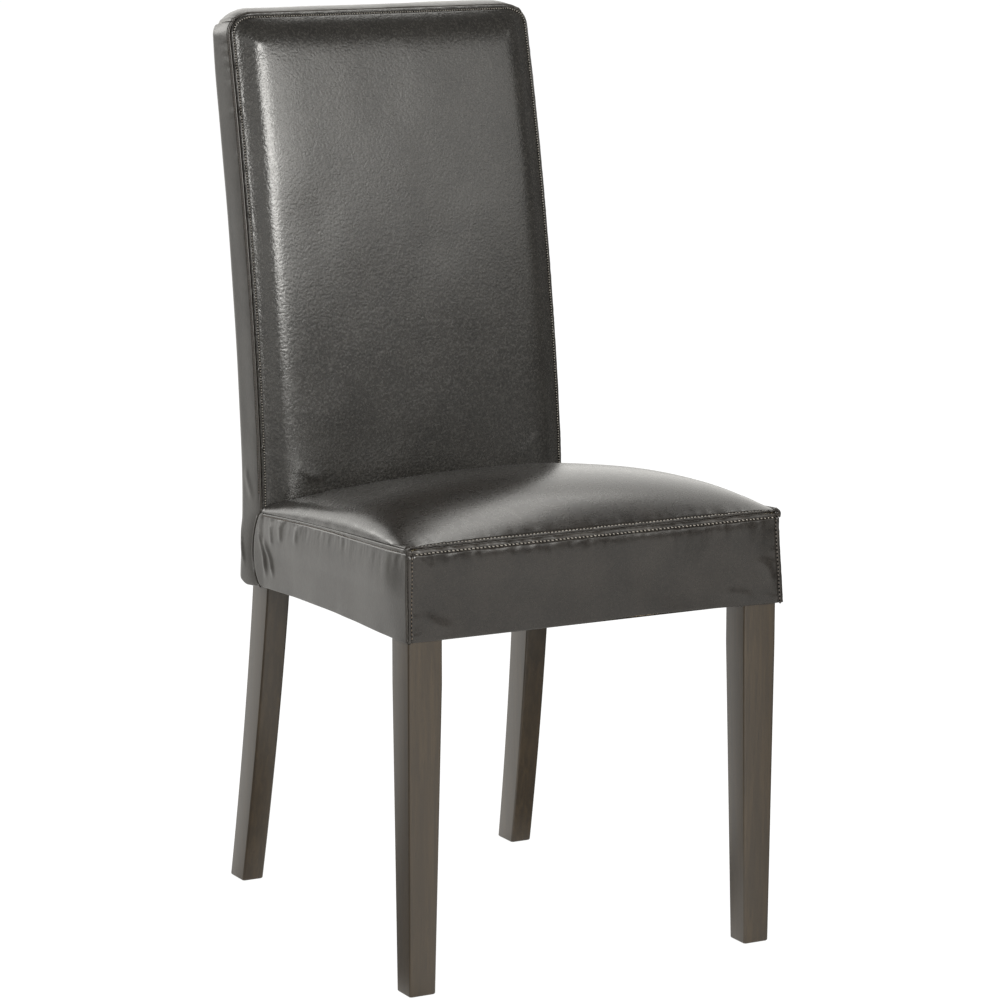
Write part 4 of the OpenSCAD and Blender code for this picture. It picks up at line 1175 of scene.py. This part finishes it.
def stitch_along(name, panel, side, inset, start, end, **stitches):
    """Stitches that far inside one side of a panel, from one share of its length to another."""
    room = panel.room(side)
    order = slice(None) if side in "BL" else slice(None, None, -1)
    if side in "BT":
        a = np.linspace(lerp(panel.a[0], panel.a[-1], start), lerp(panel.a[0], panel.a[-1], end), 160)
        columns = np.clip(np.searchsorted(panel.a, a), 0, len(panel.a) - 1)
        b = np.array([np.interp(inset, room[order, c], panel.b[order]) for c in columns])
    else:
        b = np.linspace(lerp(panel.b[0], panel.b[-1], start), lerp(panel.b[0], panel.b[-1], end), 80)
        rows = np.clip(np.searchsorted(panel.b, b), 0, len(panel.b) - 1)
        a = np.array([np.interp(inset, room[r, order], panel.a[order]) for r in rows])
    stitch_row(name, panel, a, b, **stitches)


for name, side in (("front", "B"), ("rear", "T")):
    stitch_along(f"top_stitches_{name}", top, side, TOP_STITCH, start=0.02, end=0.98, pitch=0.0034,
                 length=0.0022, slot="back_leather")
stitch_along("seat_stitches_front", seat_top, "B", SEAT_STITCH, start=0.02, end=0.98, pitch=0.0042,
             length=0.0030, yarn=THREAD, width=0.0010)
stitch_along("border_stitches_top", front_border, "T", BORDER_STITCH, start=0.02, end=0.98, pitch=0.0046,
             length=0.0038, yarn=THREAD, width=0.0011, skew=-0.5)
for name, edge, yarn in (("left", "L", BROWN_THREAD), ("right", "R", DARK_THREAD)):
    stitch_along(f"border_stitches_{name}", front_border, edge, BORDER_STITCH, start=0.03, end=0.95,
                 pitch=0.0042, length=0.0026, yarn=yarn, width=0.0009)
for side, name in SIDES:
    stitch_along(f"band_stitches_{name}", bands[side], FRONT_REAR[side][0], BAND_STITCH, start=0.17, end=0.97,
                 pitch=0.0031, length=0.0019, yarn=BROWN_THREAD, width=0.0009, slot="back_leather")
    stitch_along(f"side_stitches_{name}", borders[side], "T", SIDE_STITCH, start=0.02, end=0.98,
                 pitch=0.0040, length=0.0028, yarn=BROWN_THREAD, width=0.0008)


def tube(name, path, radius, material, sides=10):
    """A round strip of leather along a path, with rounded ends."""
    path = np.array(path, float)
    share = np.linspace(-1, 1, len(path))
    thick = radius * np.sqrt(np.maximum(0.08, 1 - np.abs(share) ** 5))
    ahead = unit(np.gradient(path, axis=0))
    side = unit(np.cross(ahead, np.array([0.0, 1.0, 0.0])))
    up = np.cross(side, ahead)
    turn = np.linspace(0, 2 * np.pi, sides, endpoint=False)
    verts = np.concatenate([
        path[k] + thick[k] * (np.cos(turn)[:, None] * side[k] + np.sin(turn)[:, None] * up[k])
        for k in range(len(path))
    ])
    new_piece(name, verts, tube_faces(len(path), sides), material)


# Small loop of leather where the seat's seams meet at each front corner
for side, name in SIDES:
    corner = np.array([side * COVER_HALF, COVER_FRONT_Y, SEAM_H])
    steps = np.linspace(0, 1, 22)
    inward = np.interp(steps, [0, 0.3, 0.6, 1], [0.0006, 0.0008, 0.0052, 0.0125])
    height = np.interp(steps, [0, 0.3, 0.6, 1], [-0.0070, -0.0006, 0.0026, 0.0004])
    for run in (inward, height):
        run[2:-2] = np.convolve(run, np.ones(5) / 5, "valid")
    path = corner + np.stack([-side * inward, np.full(22, 0.0006), height], axis=-1)
    tube(f"seat_corner_loop_{name}", path, 0.0015, SEAT_LEATHER)


# Legs

def rounded_ring(x0, x1, y0, y1, r, z, steps=6):
    corners = ((x1 - r, y1 - r, 0), (x0 + r, y1 - r, 90), (x0 + r, y0 + r, 180), (x1 - r, y0 + r, 270))
    turns = [(cx, cy, math.radians(turn + 90 * k / steps))
             for cx, cy, turn in corners for k in range(steps + 1)]
    return [(cx + r * math.cos(angle), cy + r * math.sin(angle), z) for cx, cy, angle in turns]


def leg_mesh(name, levels, section, node_name, mirror):
    """A leg lofted through rings, with its edges and foot rounded."""
    rings = []
    for angle in np.radians(np.linspace(0, 75, 6)):
        inset = FOOT_R * (1 - math.sin(angle))
        z = FOOT_R * (1 - math.cos(angle))
        x0, x1, y0, y1, r = section(z)
        rings.append(rounded_ring(x0 + inset, x1 - inset, y0 + inset, y1 - inset, r, z))
    rings += [rounded_ring(*section(z), z) for z in levels]
    faces = tube_faces(len(rings), len(rings[0]))
    verts = np.array(rings).reshape(-1, 3) * [mirror, 1, 1]
    if mirror < 0:
        faces = [face[::-1] for face in faces]
    obj = new_piece(name, verts, faces, STAINED_WOOD)
    obj.data.set_sharp_from_angle(angle=math.radians(40))
    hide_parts(node_name)


FOOT_R = 0.0020
LEG_EDGE_R = 0.0025
STOUT = 0.0003


def front_leg_section(z):
    t = float(clamp(1 - z / TAPER_H))
    x0 = -SEAT_W / 2 + FRONT_FOOT_IN * t
    y0 = FRONT_Y + FRONT_FOOT_BACK * t
    x1, y1 = x0 + lerp(LEG_W, FRONT_FOOT_W, t), y0 + lerp(LEG_W, FRONT_FOOT_D, t)
    return x0 - STOUT, x1 + STOUT, y0 - STOUT * t, y1 + STOUT * (1 + 2 * t), LEG_EDGE_R


def rear_leg_section(z):
    t = float(clamp((KNEE_H - z) / KNEE_H))
    x0 = -float(post_half(z))
    y0 = POST_Y0 + float(lean(z)) + float(rake(z))
    x1 = x0 + lerp(REAR_LEG_W, REAR_FOOT_W, t)
    y1 = y0 + lerp(REAR_LEG_D, REAR_FOOT_D, t)
    return x0 - STOUT * t, x1 + STOUT * t, y0 - STOUT * t, y1, LEG_EDGE_R


front_levels = [*np.linspace(FOOT_R, TAPER_H, 24), *np.linspace(TAPER_H, LEG_TOP, 9)[1:]]
rear_levels = [*np.linspace(FOOT_R, KNEE_H, 44), *np.linspace(KNEE_H, POST_TOP, 50)[1:]]
for side, name in SIDES:
    leg_mesh(f"leg_front_{name}", front_levels, front_leg_section, f"front_leg_{name}", -side)
    leg_mesh(f"leg_rear_{name}", rear_levels, rear_leg_section, f"rear_leg_{name}", -side)


# Padding under the cover

CLEAR = 0.0034
FOAM_LIFT = 0.0052


def closed_form(name, outer, inner, material, replaced):
    """Closed solid between two grids of points."""
    rows, cols = outer.shape[:2]
    total = rows * cols
    faces = []
    for face in grid_faces(rows, cols):
        faces.append(face)
        faces.append(tuple(total + face[k] for k in (0, 3, 2, 1)))
    rim = [j * cols + i for j, i, _ in border(rows, cols)]
    faces += [(here, total + here, total + ahead, ahead) for here, ahead in zip(rim, rim[1:] + rim[:1])]
    verts = np.concatenate([outer.reshape(-1, 3), inner.reshape(-1, 3)])
    obj = new_piece(name, verts, faces, material)
    obj.data.set_sharp_from_angle(angle=math.radians(50))
    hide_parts(replaced)
    return obj


def wadding(name, outer, inner, replaced):
    closed_form(name, outer, inner, WADDING, replaced)


def seat_padding():
    u = np.interp(np.linspace(0, 1, 49), np.linspace(0, 1, len(seat_top.a)), seat_top.a)
    v = 1 - np.cos(np.linspace(0, np.pi / 2, 40))
    panel = Panel(u, v, seat_place)
    top = panel.points - panel.normals() * CLEAR
    rim = SEAT_W / 2 + SKIN - CLEAR
    top[..., 0] = np.clip(top[..., 0], -rim, rim)
    top[..., 1] = np.clip(top[..., 1], COVER_FRONT_Y + CLEAR, None)
    base = top.copy()
    base[..., 2] = frame_z(base[..., 1]) + FOAM_LIFT
    top[..., 2] = np.maximum(top[..., 2], base[..., 2] + 0.02)
    closed_form("seat_foam_pad", top, base, FOAM, "seat_foam")


def back_padding():
    a = np.linspace(-1, 1, 61)
    z = np.linspace(BACK_LOW_Z + 0.012, FRONT_TOP - CLEAR, 90)

    def place(u, z):
        reach = band_half(z) + arch(z, FRONT_TOP, *FRONT_CORNER) - CLEAR
        return u * reach, back_y(z) - back_rise(u * reach, z), z

    front = Panel(a, z, place).points
    front[..., 1] += CLEAR
    rear = front.copy()
    rear[..., 1] = back_y(rear[..., 2]) + FRONT_PAD - 0.0027
    front[..., 1] = np.minimum(front[..., 1], rear[..., 1] - 0.0003)
    closed_form("back_foam_pad", front, rear, FOAM, "back_foam")


def side_padding():
    """Strips of wadding down the outer sides of the posts."""
    heights = np.linspace(hem_z(BACK_Y0 + BACK_T) + 0.009, POST_TOP, 60)
    z, share = np.meshgrid(heights, np.linspace(0, 1, 14), indexing="ij")
    y = back_y(z) + lerp(FRONT_PAD, BACK_T - REAR_EDGE_R - 0.002 - top_roll(z), share)
    near = post_half(z) + 0.0003
    far = lerp(near + 0.0004, band_half(z) - CLEAR, np.sqrt(1 - (2 * share - 1) ** 6))
    for side, name in SIDES:
        order = slice(None, None, side)
        outer, inner = (np.stack([side * x, y, z], axis=-1)[:, order] for x in (far, near))
        wadding(f"side_wadding_{name}", outer, inner, "back_side_pads")


def top_padding():
    """Wadding over the posts' tops and the upper rail."""
    half = float(band_half(OVERALL_H)) - CLEAR
    wide, tall = REAR_CORNER
    shares = (1 - np.cos(np.linspace(0, np.pi, 15))) / 2
    x, share = np.meshgrid(closer_at_ends(61) * half, shares)
    side = clamp((half - np.abs(x)) / wide)
    drop = tall * (1 - np.sqrt(1 - (1 - side) ** 2))
    z = np.maximum(FRONT_TOP - CLEAR - drop - 0.003 * (2 * share - 1) ** 4, POST_TOP + 0.0006)
    y = back_y(z) + lerp(FRONT_PAD, BACK_T - REAR_EDGE_R - REAR_ROLL, share)
    top = np.stack([x, y, z], axis=-1)
    base = top.copy()
    base[..., 2] = POST_TOP + 0.0003
    wadding("top_wadding", top, base, "back_top_pad")


def rear_padding():
    z = np.linspace(hem_z(BACK_Y0 + BACK_T) + 0.013, POST_TOP, 80)
    u, z = np.meshgrid(-closer_at_ends(50), z)
    x = u * (band_half(z) + arch(z, OVERALL_H, *REAR_CORNER) - REAR_EDGE_R)
    near = back_y(z) + FRONT_PAD + REAR_LEG_D + 0.0036
    far = np.maximum(near + 0.0004, back_y(z) + BACK_T - 0.0026 - top_roll(z) - 0.005 * np.abs(u) ** 8)
    wadding("rear_wadding", *(np.stack([x, y, z], axis=-1) for y in (far, near)), "back_rear_wadding")


seat_padding()
back_padding()
side_padding()
top_padding()
rear_padding()


# Webbing, lining and dust cover

STRAP_W = 0.050
STRAP_T = 0.0016
STRAP_END = 0.006
STRAPS = 4
LONG_PITCH = 0.068
CROSS_PITCH = 0.078
BACK_PITCH = 0.082
LOW_RAIL_H, TOP_RAIL_H = 0.050, 0.055
WEAVE = (STRAP_T + 0.0003) / 2
RAIL_T = 0.022
REAR_RAIL_SET = 0.014
FRAME_SLOPE = math.atan(FRAME_FALL / SEAT_D)
LONG_SPAN = (POST_Y0 + REAR_RAIL_SET + RAIL_T - FRONT_Y) / math.cos(FRAME_SLOPE)


def on_frame(points):
    """From a place on the frame's sloping top (x across, y back, z square to it) to the chair's frame."""
    x, y, z = axes(points)
    c, s = math.cos(FRAME_SLOPE), math.sin(FRAME_SLOPE)
    return np.stack([x, FRONT_Y + y * c + z * s, FRAME_H - y * s + z * c], axis=-1)


def rail_outer(y):
    return lerp(SEAT_W / 2, SEAT_REAR_W / 2, (y - LEG_REAR_Y) / (POST_Y0 - LEG_REAR_Y))


def strap_height(run, centres, passes):
    """Smooth rise and fall of a strap over and under those it crosses."""
    height = np.zeros_like(run)
    for centre, level in zip(centres, passes):
        height += level * ease((STRAP_W / 2 + 0.0065 - np.abs(run - centre)) / 0.006)
    return height


def strap_grids(start, end, centre, centres, passes, along_y):
    run = np.linspace(start, end, 150)
    across = np.array([-1, -0.985, -0.94, -0.9, -0.6, -0.3, 0, 0.3, 0.6, 0.9, 0.94, 0.985, 1]) * STRAP_W / 2
    selvedge = 0.00022 * np.exp(-((STRAP_W / 2 - np.abs(across) - 0.0015) / 0.001) ** 2)
    edge = 0.0005 * (np.abs(across) > STRAP_W / 2 * 0.99)
    r, w = np.meshgrid(run, across, indexing="ij")
    height = strap_height(r, centres, passes)
    upper = height + STRAP_T - edge + np.minimum(selvedge, 0.0001)
    x, y = (w + centre, r) if along_y else (r, w + centre)
    return [on_frame(np.stack([x, y, level], axis=-1)) for level in (upper, height + edge)]


def spread(count, pitch, middle=0.0):
    return [middle + (k - (count - 1) / 2) * pitch for k in range(count)]


def strap_pass(i, j):
    return WEAVE if (i + j) % 2 == 0 else -WEAVE


def strap(name, outer, inner, replaced):
    closed_form(name, outer, inner, WEBBING, replaced)


long_x = spread(STRAPS, LONG_PITCH)
cross_y = spread(STRAPS, CROSS_PITCH, LONG_SPAN / 2)
for i, x in enumerate(long_x):
    passes = [strap_pass(i, j) for j in range(STRAPS)]
    upper, lower = strap_grids(STRAP_END, LONG_SPAN - STRAP_END, x, cross_y, passes, True)
    strap(f"strap_long_{i + 1}", upper[:, ::-1], lower[:, ::-1], "seat_straps_long")
for j, y in enumerate(cross_y):
    reach = rail_outer(FRONT_Y + y + STRAP_W / 2) - 0.005
    passes = [-strap_pass(i, j) for i in range(STRAPS)]
    upper, lower = strap_grids(-reach, reach, y, long_x, passes, False)
    strap(f"strap_cross_{j + 1}", upper, lower, "seat_straps_cross")
for k, middle in enumerate(spread(5, BACK_PITCH, (SEAM_H + LOW_RAIL_H + POST_TOP - TOP_RAIL_H) / 2)):
    z = np.linspace(middle - STRAP_W / 2, middle + STRAP_W / 2, 12)
    half = float(post_half(z[-1])) - 0.004
    x, z = np.meshgrid(np.linspace(-half, half, 60), z)
    front = np.stack([x, back_y(z) + FRONT_PAD - 0.0003 - STRAP_T, z], axis=-1)
    strap(f"strap_back_{k + 1}", front, front + [0, STRAP_T, 0], "back_straps")


def sheet_piece(name, place, cols, rows, thickness, material, replaced):
    """A stretched cloth as a thin closed piece. It works out the size the cloth was cut to, which nothing
    uses.
    """
    top = place(*np.meshgrid(np.linspace(-1, 1, cols), np.linspace(0, 1, rows)))
    obj = closed_form(name, top, top - [0, 0, thickness], material, replaced)
    flat = tuple(float(np.linalg.norm(np.diff(top, axis=k), axis=-1).sum(axis=k).max()) for k in (1, 0))


def lining_place(u, v):
    end = (BACK_Y0 + SEAM_BACK - CUSHION_RISE - CUSHION_DOME - 0.001 - FRONT_Y) / math.cos(FRAME_SLOPE)
    y = lerp(0.001, end, v)
    half = np.minimum(SEAT_W / 2, rail_outer(FRONT_Y + y)) - 0.0014
    height = STRAP_T + WEAVE + 0.0015 + 0.0003 * noise(u * 5, v * 6, 61)
    return on_frame(np.stack([u * half, y, height], axis=-1))


sheet_piece("seat_lining_cloth", lining_place, 60, 50, 0.0008, LINING, "seat_lining")


def dust_place(u, v):
    margin = 0.006
    y = lerp(FRONT_Y + margin, POST_Y0 + REAR_RAIL_SET + RAIL_T - margin, v)
    half = np.minimum(SEAT_W / 2, rail_outer(y)) - margin
    front_clear = SEAT_W / 2 - LEG_W - 0.001
    rear_clear = SEAT_REAR_W / 2 - REAR_LEG_W - 0.001
    half = np.where(y < LEG_REAR_Y + 0.001, np.minimum(half, front_clear), half)
    half = np.where(y > POST_Y0 - 0.001, np.minimum(half, rear_clear), half)
    sag = 0.0012 * np.cos(u * np.pi / 2) * np.sin(v * np.pi)
    ripple = 0.0003 * noise(u * 9, v * 9, 63) * np.sin(v * np.pi)
    return np.stack([u * half, y, hem_z(y) - sag + ripple], axis=-1)


sheet_piece("dust_cloth", dust_place, 60, 120, 0.0006, DUST_CLOTH, "dust_cover")


def staples():
    """Wire staples that hold the dust cover to the rails, one every 45 mm."""
    places = [(share, end, (1, 0, 0)) for share in np.linspace(-0.9, 0.9, 9) for end in (0.012, 0.988)]
    places += [(u, share, (0, 1, 0)) for share in np.linspace(0.16, 0.84, 8) for u in (-0.985, 0.985)]
    points = np.array([dust_place(np.array(u), np.array(v)) for u, v, _ in places]) - [0, 0, 0.0009]
    tangents = np.array([way for _, _, way in places], float)
    capsules("dust_cover_staples", points, tangents, np.tile([0.0, 0.0, -1.0], (len(places), 1)),
             0.010, 0.0009, 0.0002, STEEL)


staples()


# Panel behind the back

BOARD_TRIM = 0.014


def trimmed_board():
    """The hard panel with its upper corners cut back, so that they clear the cover's round ones."""
    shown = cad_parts["back_board"]
    verts = [shown.matrix_world @ vertex.co for vertex in shown.data.vertices]
    top, side = max(v.z for v in verts), max(abs(v.x) for v in verts if v.z > 0.9)
    for v in verts:
        if v.z > top - 0.001 and abs(v.x) > side - 0.004:
            v.x -= math.copysign(BOARD_TRIM, v.x)
    faces = [tuple(face.vertices) for face in shown.data.polygons]
    obj = new_piece("back_panel_board", verts, faces, HARDBOARD, smooth=False)
    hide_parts("back_board")


trimmed_board()


# Finish of the frame's own nodes

RAW_NODES = ("front_rail", "rear_rail", "side_rail_left", "side_rail_right", "back_top_rail",
             "back_lower_rail", "corner_blocks")
for names, material in ((RAW_NODES, RAW_WOOD), (("corner_block_screws",), STEEL),
                        (("seat_rail_dowels", "back_rail_dowels"), DOWEL_WOOD)):
    for name in names:
        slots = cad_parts[name].data.materials
        slots.clear()
        slots.append(material)


# Floor, backdrop and light

WARM = (1.0, 0.985, 0.945, 1)


def white_floor(name, colour, share, glow_level):
    """White to the camera and in reflections, while the floor still takes the object's shadow. In
    reflections it is bright before and behind the chair and dim on both sides."""
    mat = bpy.data.materials.new(name)
    mat.use_nodes = True
    tree = mat.node_tree
    tree.nodes.clear()
    path = node(tree, "LightPath").outputs
    bearing = chain(tree, "VectorMath", {"operation": "NORMALIZE"}, place_of(tree))[0]
    across = (node(tree, "SeparateXYZ", Vector=place).outputs["X"] for place in (bearing, place_of(tree)))
    sideways, away = (math_node(tree, "ABSOLUTE", x, 0.0) for x in across)
    bright = times(tree, ramp(tree, sideways, 0.46, 0.86, 1.0, 0.15), ramp(tree, away, 1.5, 5.5, 1.0, 0.25))
    dimming = times(tree, path["Is Glossy Ray"], math_node(tree, "SUBTRACT", 1.0, bright))
    level = times(tree, math_node(tree, "SUBTRACT", 1.0, dimming), glow_level)
    tint = blend_colour(tree, path["Is Glossy Ray"], (1, 1, 1, 1), WARM)
    glow = node(tree, "Emission", Color=tint, Strength=level).outputs[0]
    seen = math_node(tree, "MAXIMUM", path["Is Camera Ray"], path["Is Glossy Ray"])
    diffuse = node(tree, "BsdfDiffuse", Color=colour).outputs[0]
    mix = chain(tree, "MixShader", None, times(tree, seen, share), diffuse, glow)
    node(tree, "OutputMaterial", Surface=mix[0])
    return mat


FLOOR_HALF = 40
floor_mesh = bpy.data.meshes.new("floor")
floor_mesh.from_pydata(
    [(x * FLOOR_HALF, y * FLOOR_HALF, -0.0005) for x, y in ((-1, -1), (1, -1), (1, 1), (-1, 1))],
    [], [(0, 1, 2, 3)],
)
floor_white = white_floor("floor_white", (0.84, 0.84, 0.84, 1), share=0.86, glow_level=1.14)
floor_mesh.materials.append(floor_white)
add_object("floor", floor_mesh)


def studio_world(front, rear):
    """A dim room with a white backdrop behind the chair, white all round to the camera."""
    made = bpy.data.worlds.new("studio")
    bpy.context.scene.world = made
    made.use_nodes = True
    tree = made.node_tree
    sky = tree.nodes["Background"].inputs
    parts = node(tree, "SeparateXYZ", Vector=node(tree, "TexCoord").outputs["Generated"]).outputs
    lit = times(tree, ramp(tree, parts["Y"], 0.20, 0.85), ramp(tree, parts["Z"], 0.62, 0.92, 1.0, 0.0))
    room = math_node(tree, "MULTIPLY_ADD", lit, rear - front, front)
    to_camera = node(tree, "LightPath").outputs["Is Camera Ray"]
    feed(tree, sky["Strength"], chain(tree, "Mix", {"data_type": "FLOAT"}, to_camera, None, room, 1.0)[0])
    feed(tree, sky["Color"], blend_colour(tree, to_camera, WARM, (1, 1, 1, 1)))


studio_world(front=0.20, rear=1.7)


def area_light(name, azimuth, elevation, distance, size, level, aim=(0, 0, 0.55)):
    """A soft box seen from the chair at that azimuth, where 0 is straight in front and 90 on its right.
    level is its power by area, over pi."""
    data = bpy.data.lights.new(name, "AREA")
    data.shape = "RECTANGLE"
    data.size, data.size_y = size
    data.energy = level * math.pi * size[0] * size[1]
    data.color = WARM[:3]
    obj = add_object(name, data)
    az, el = math.radians(azimuth), math.radians(elevation)
    back = Vector((math.sin(az) * math.cos(el), -math.cos(az) * math.cos(el), math.sin(el)))
    obj.location = Vector(aim) + back * distance
    obj.rotation_mode = "QUATERNION"
    obj.rotation_quaternion = (-back).to_track_quat("-Z", "Y")


for lamp in (
    # name, azimuth, elevation, distance, size, level
    ("key", -15, 19.5, 6.0, (2.0, 1.7), 19.0),
    ("broad", 9, 21.5, 6.0, (2.6, 1.9), 5.4),
    ("fill", 39, 18.5, 6.0, (3.3, 1.9), 1.6),
    ("left", -56, 12, 5.0, (3.2, 2.2), 1.2),
    ("side", -150, 22, 5.0, (2.0, 2.4), 3.8),
    ("top", 150, 56, 5.0, (2.4, 2.4), 3.2),
):
    area_light(*lamp)

bpy.context.scene.view_settings.view_transform = "Standard"

bpy.context.view_layer.update()
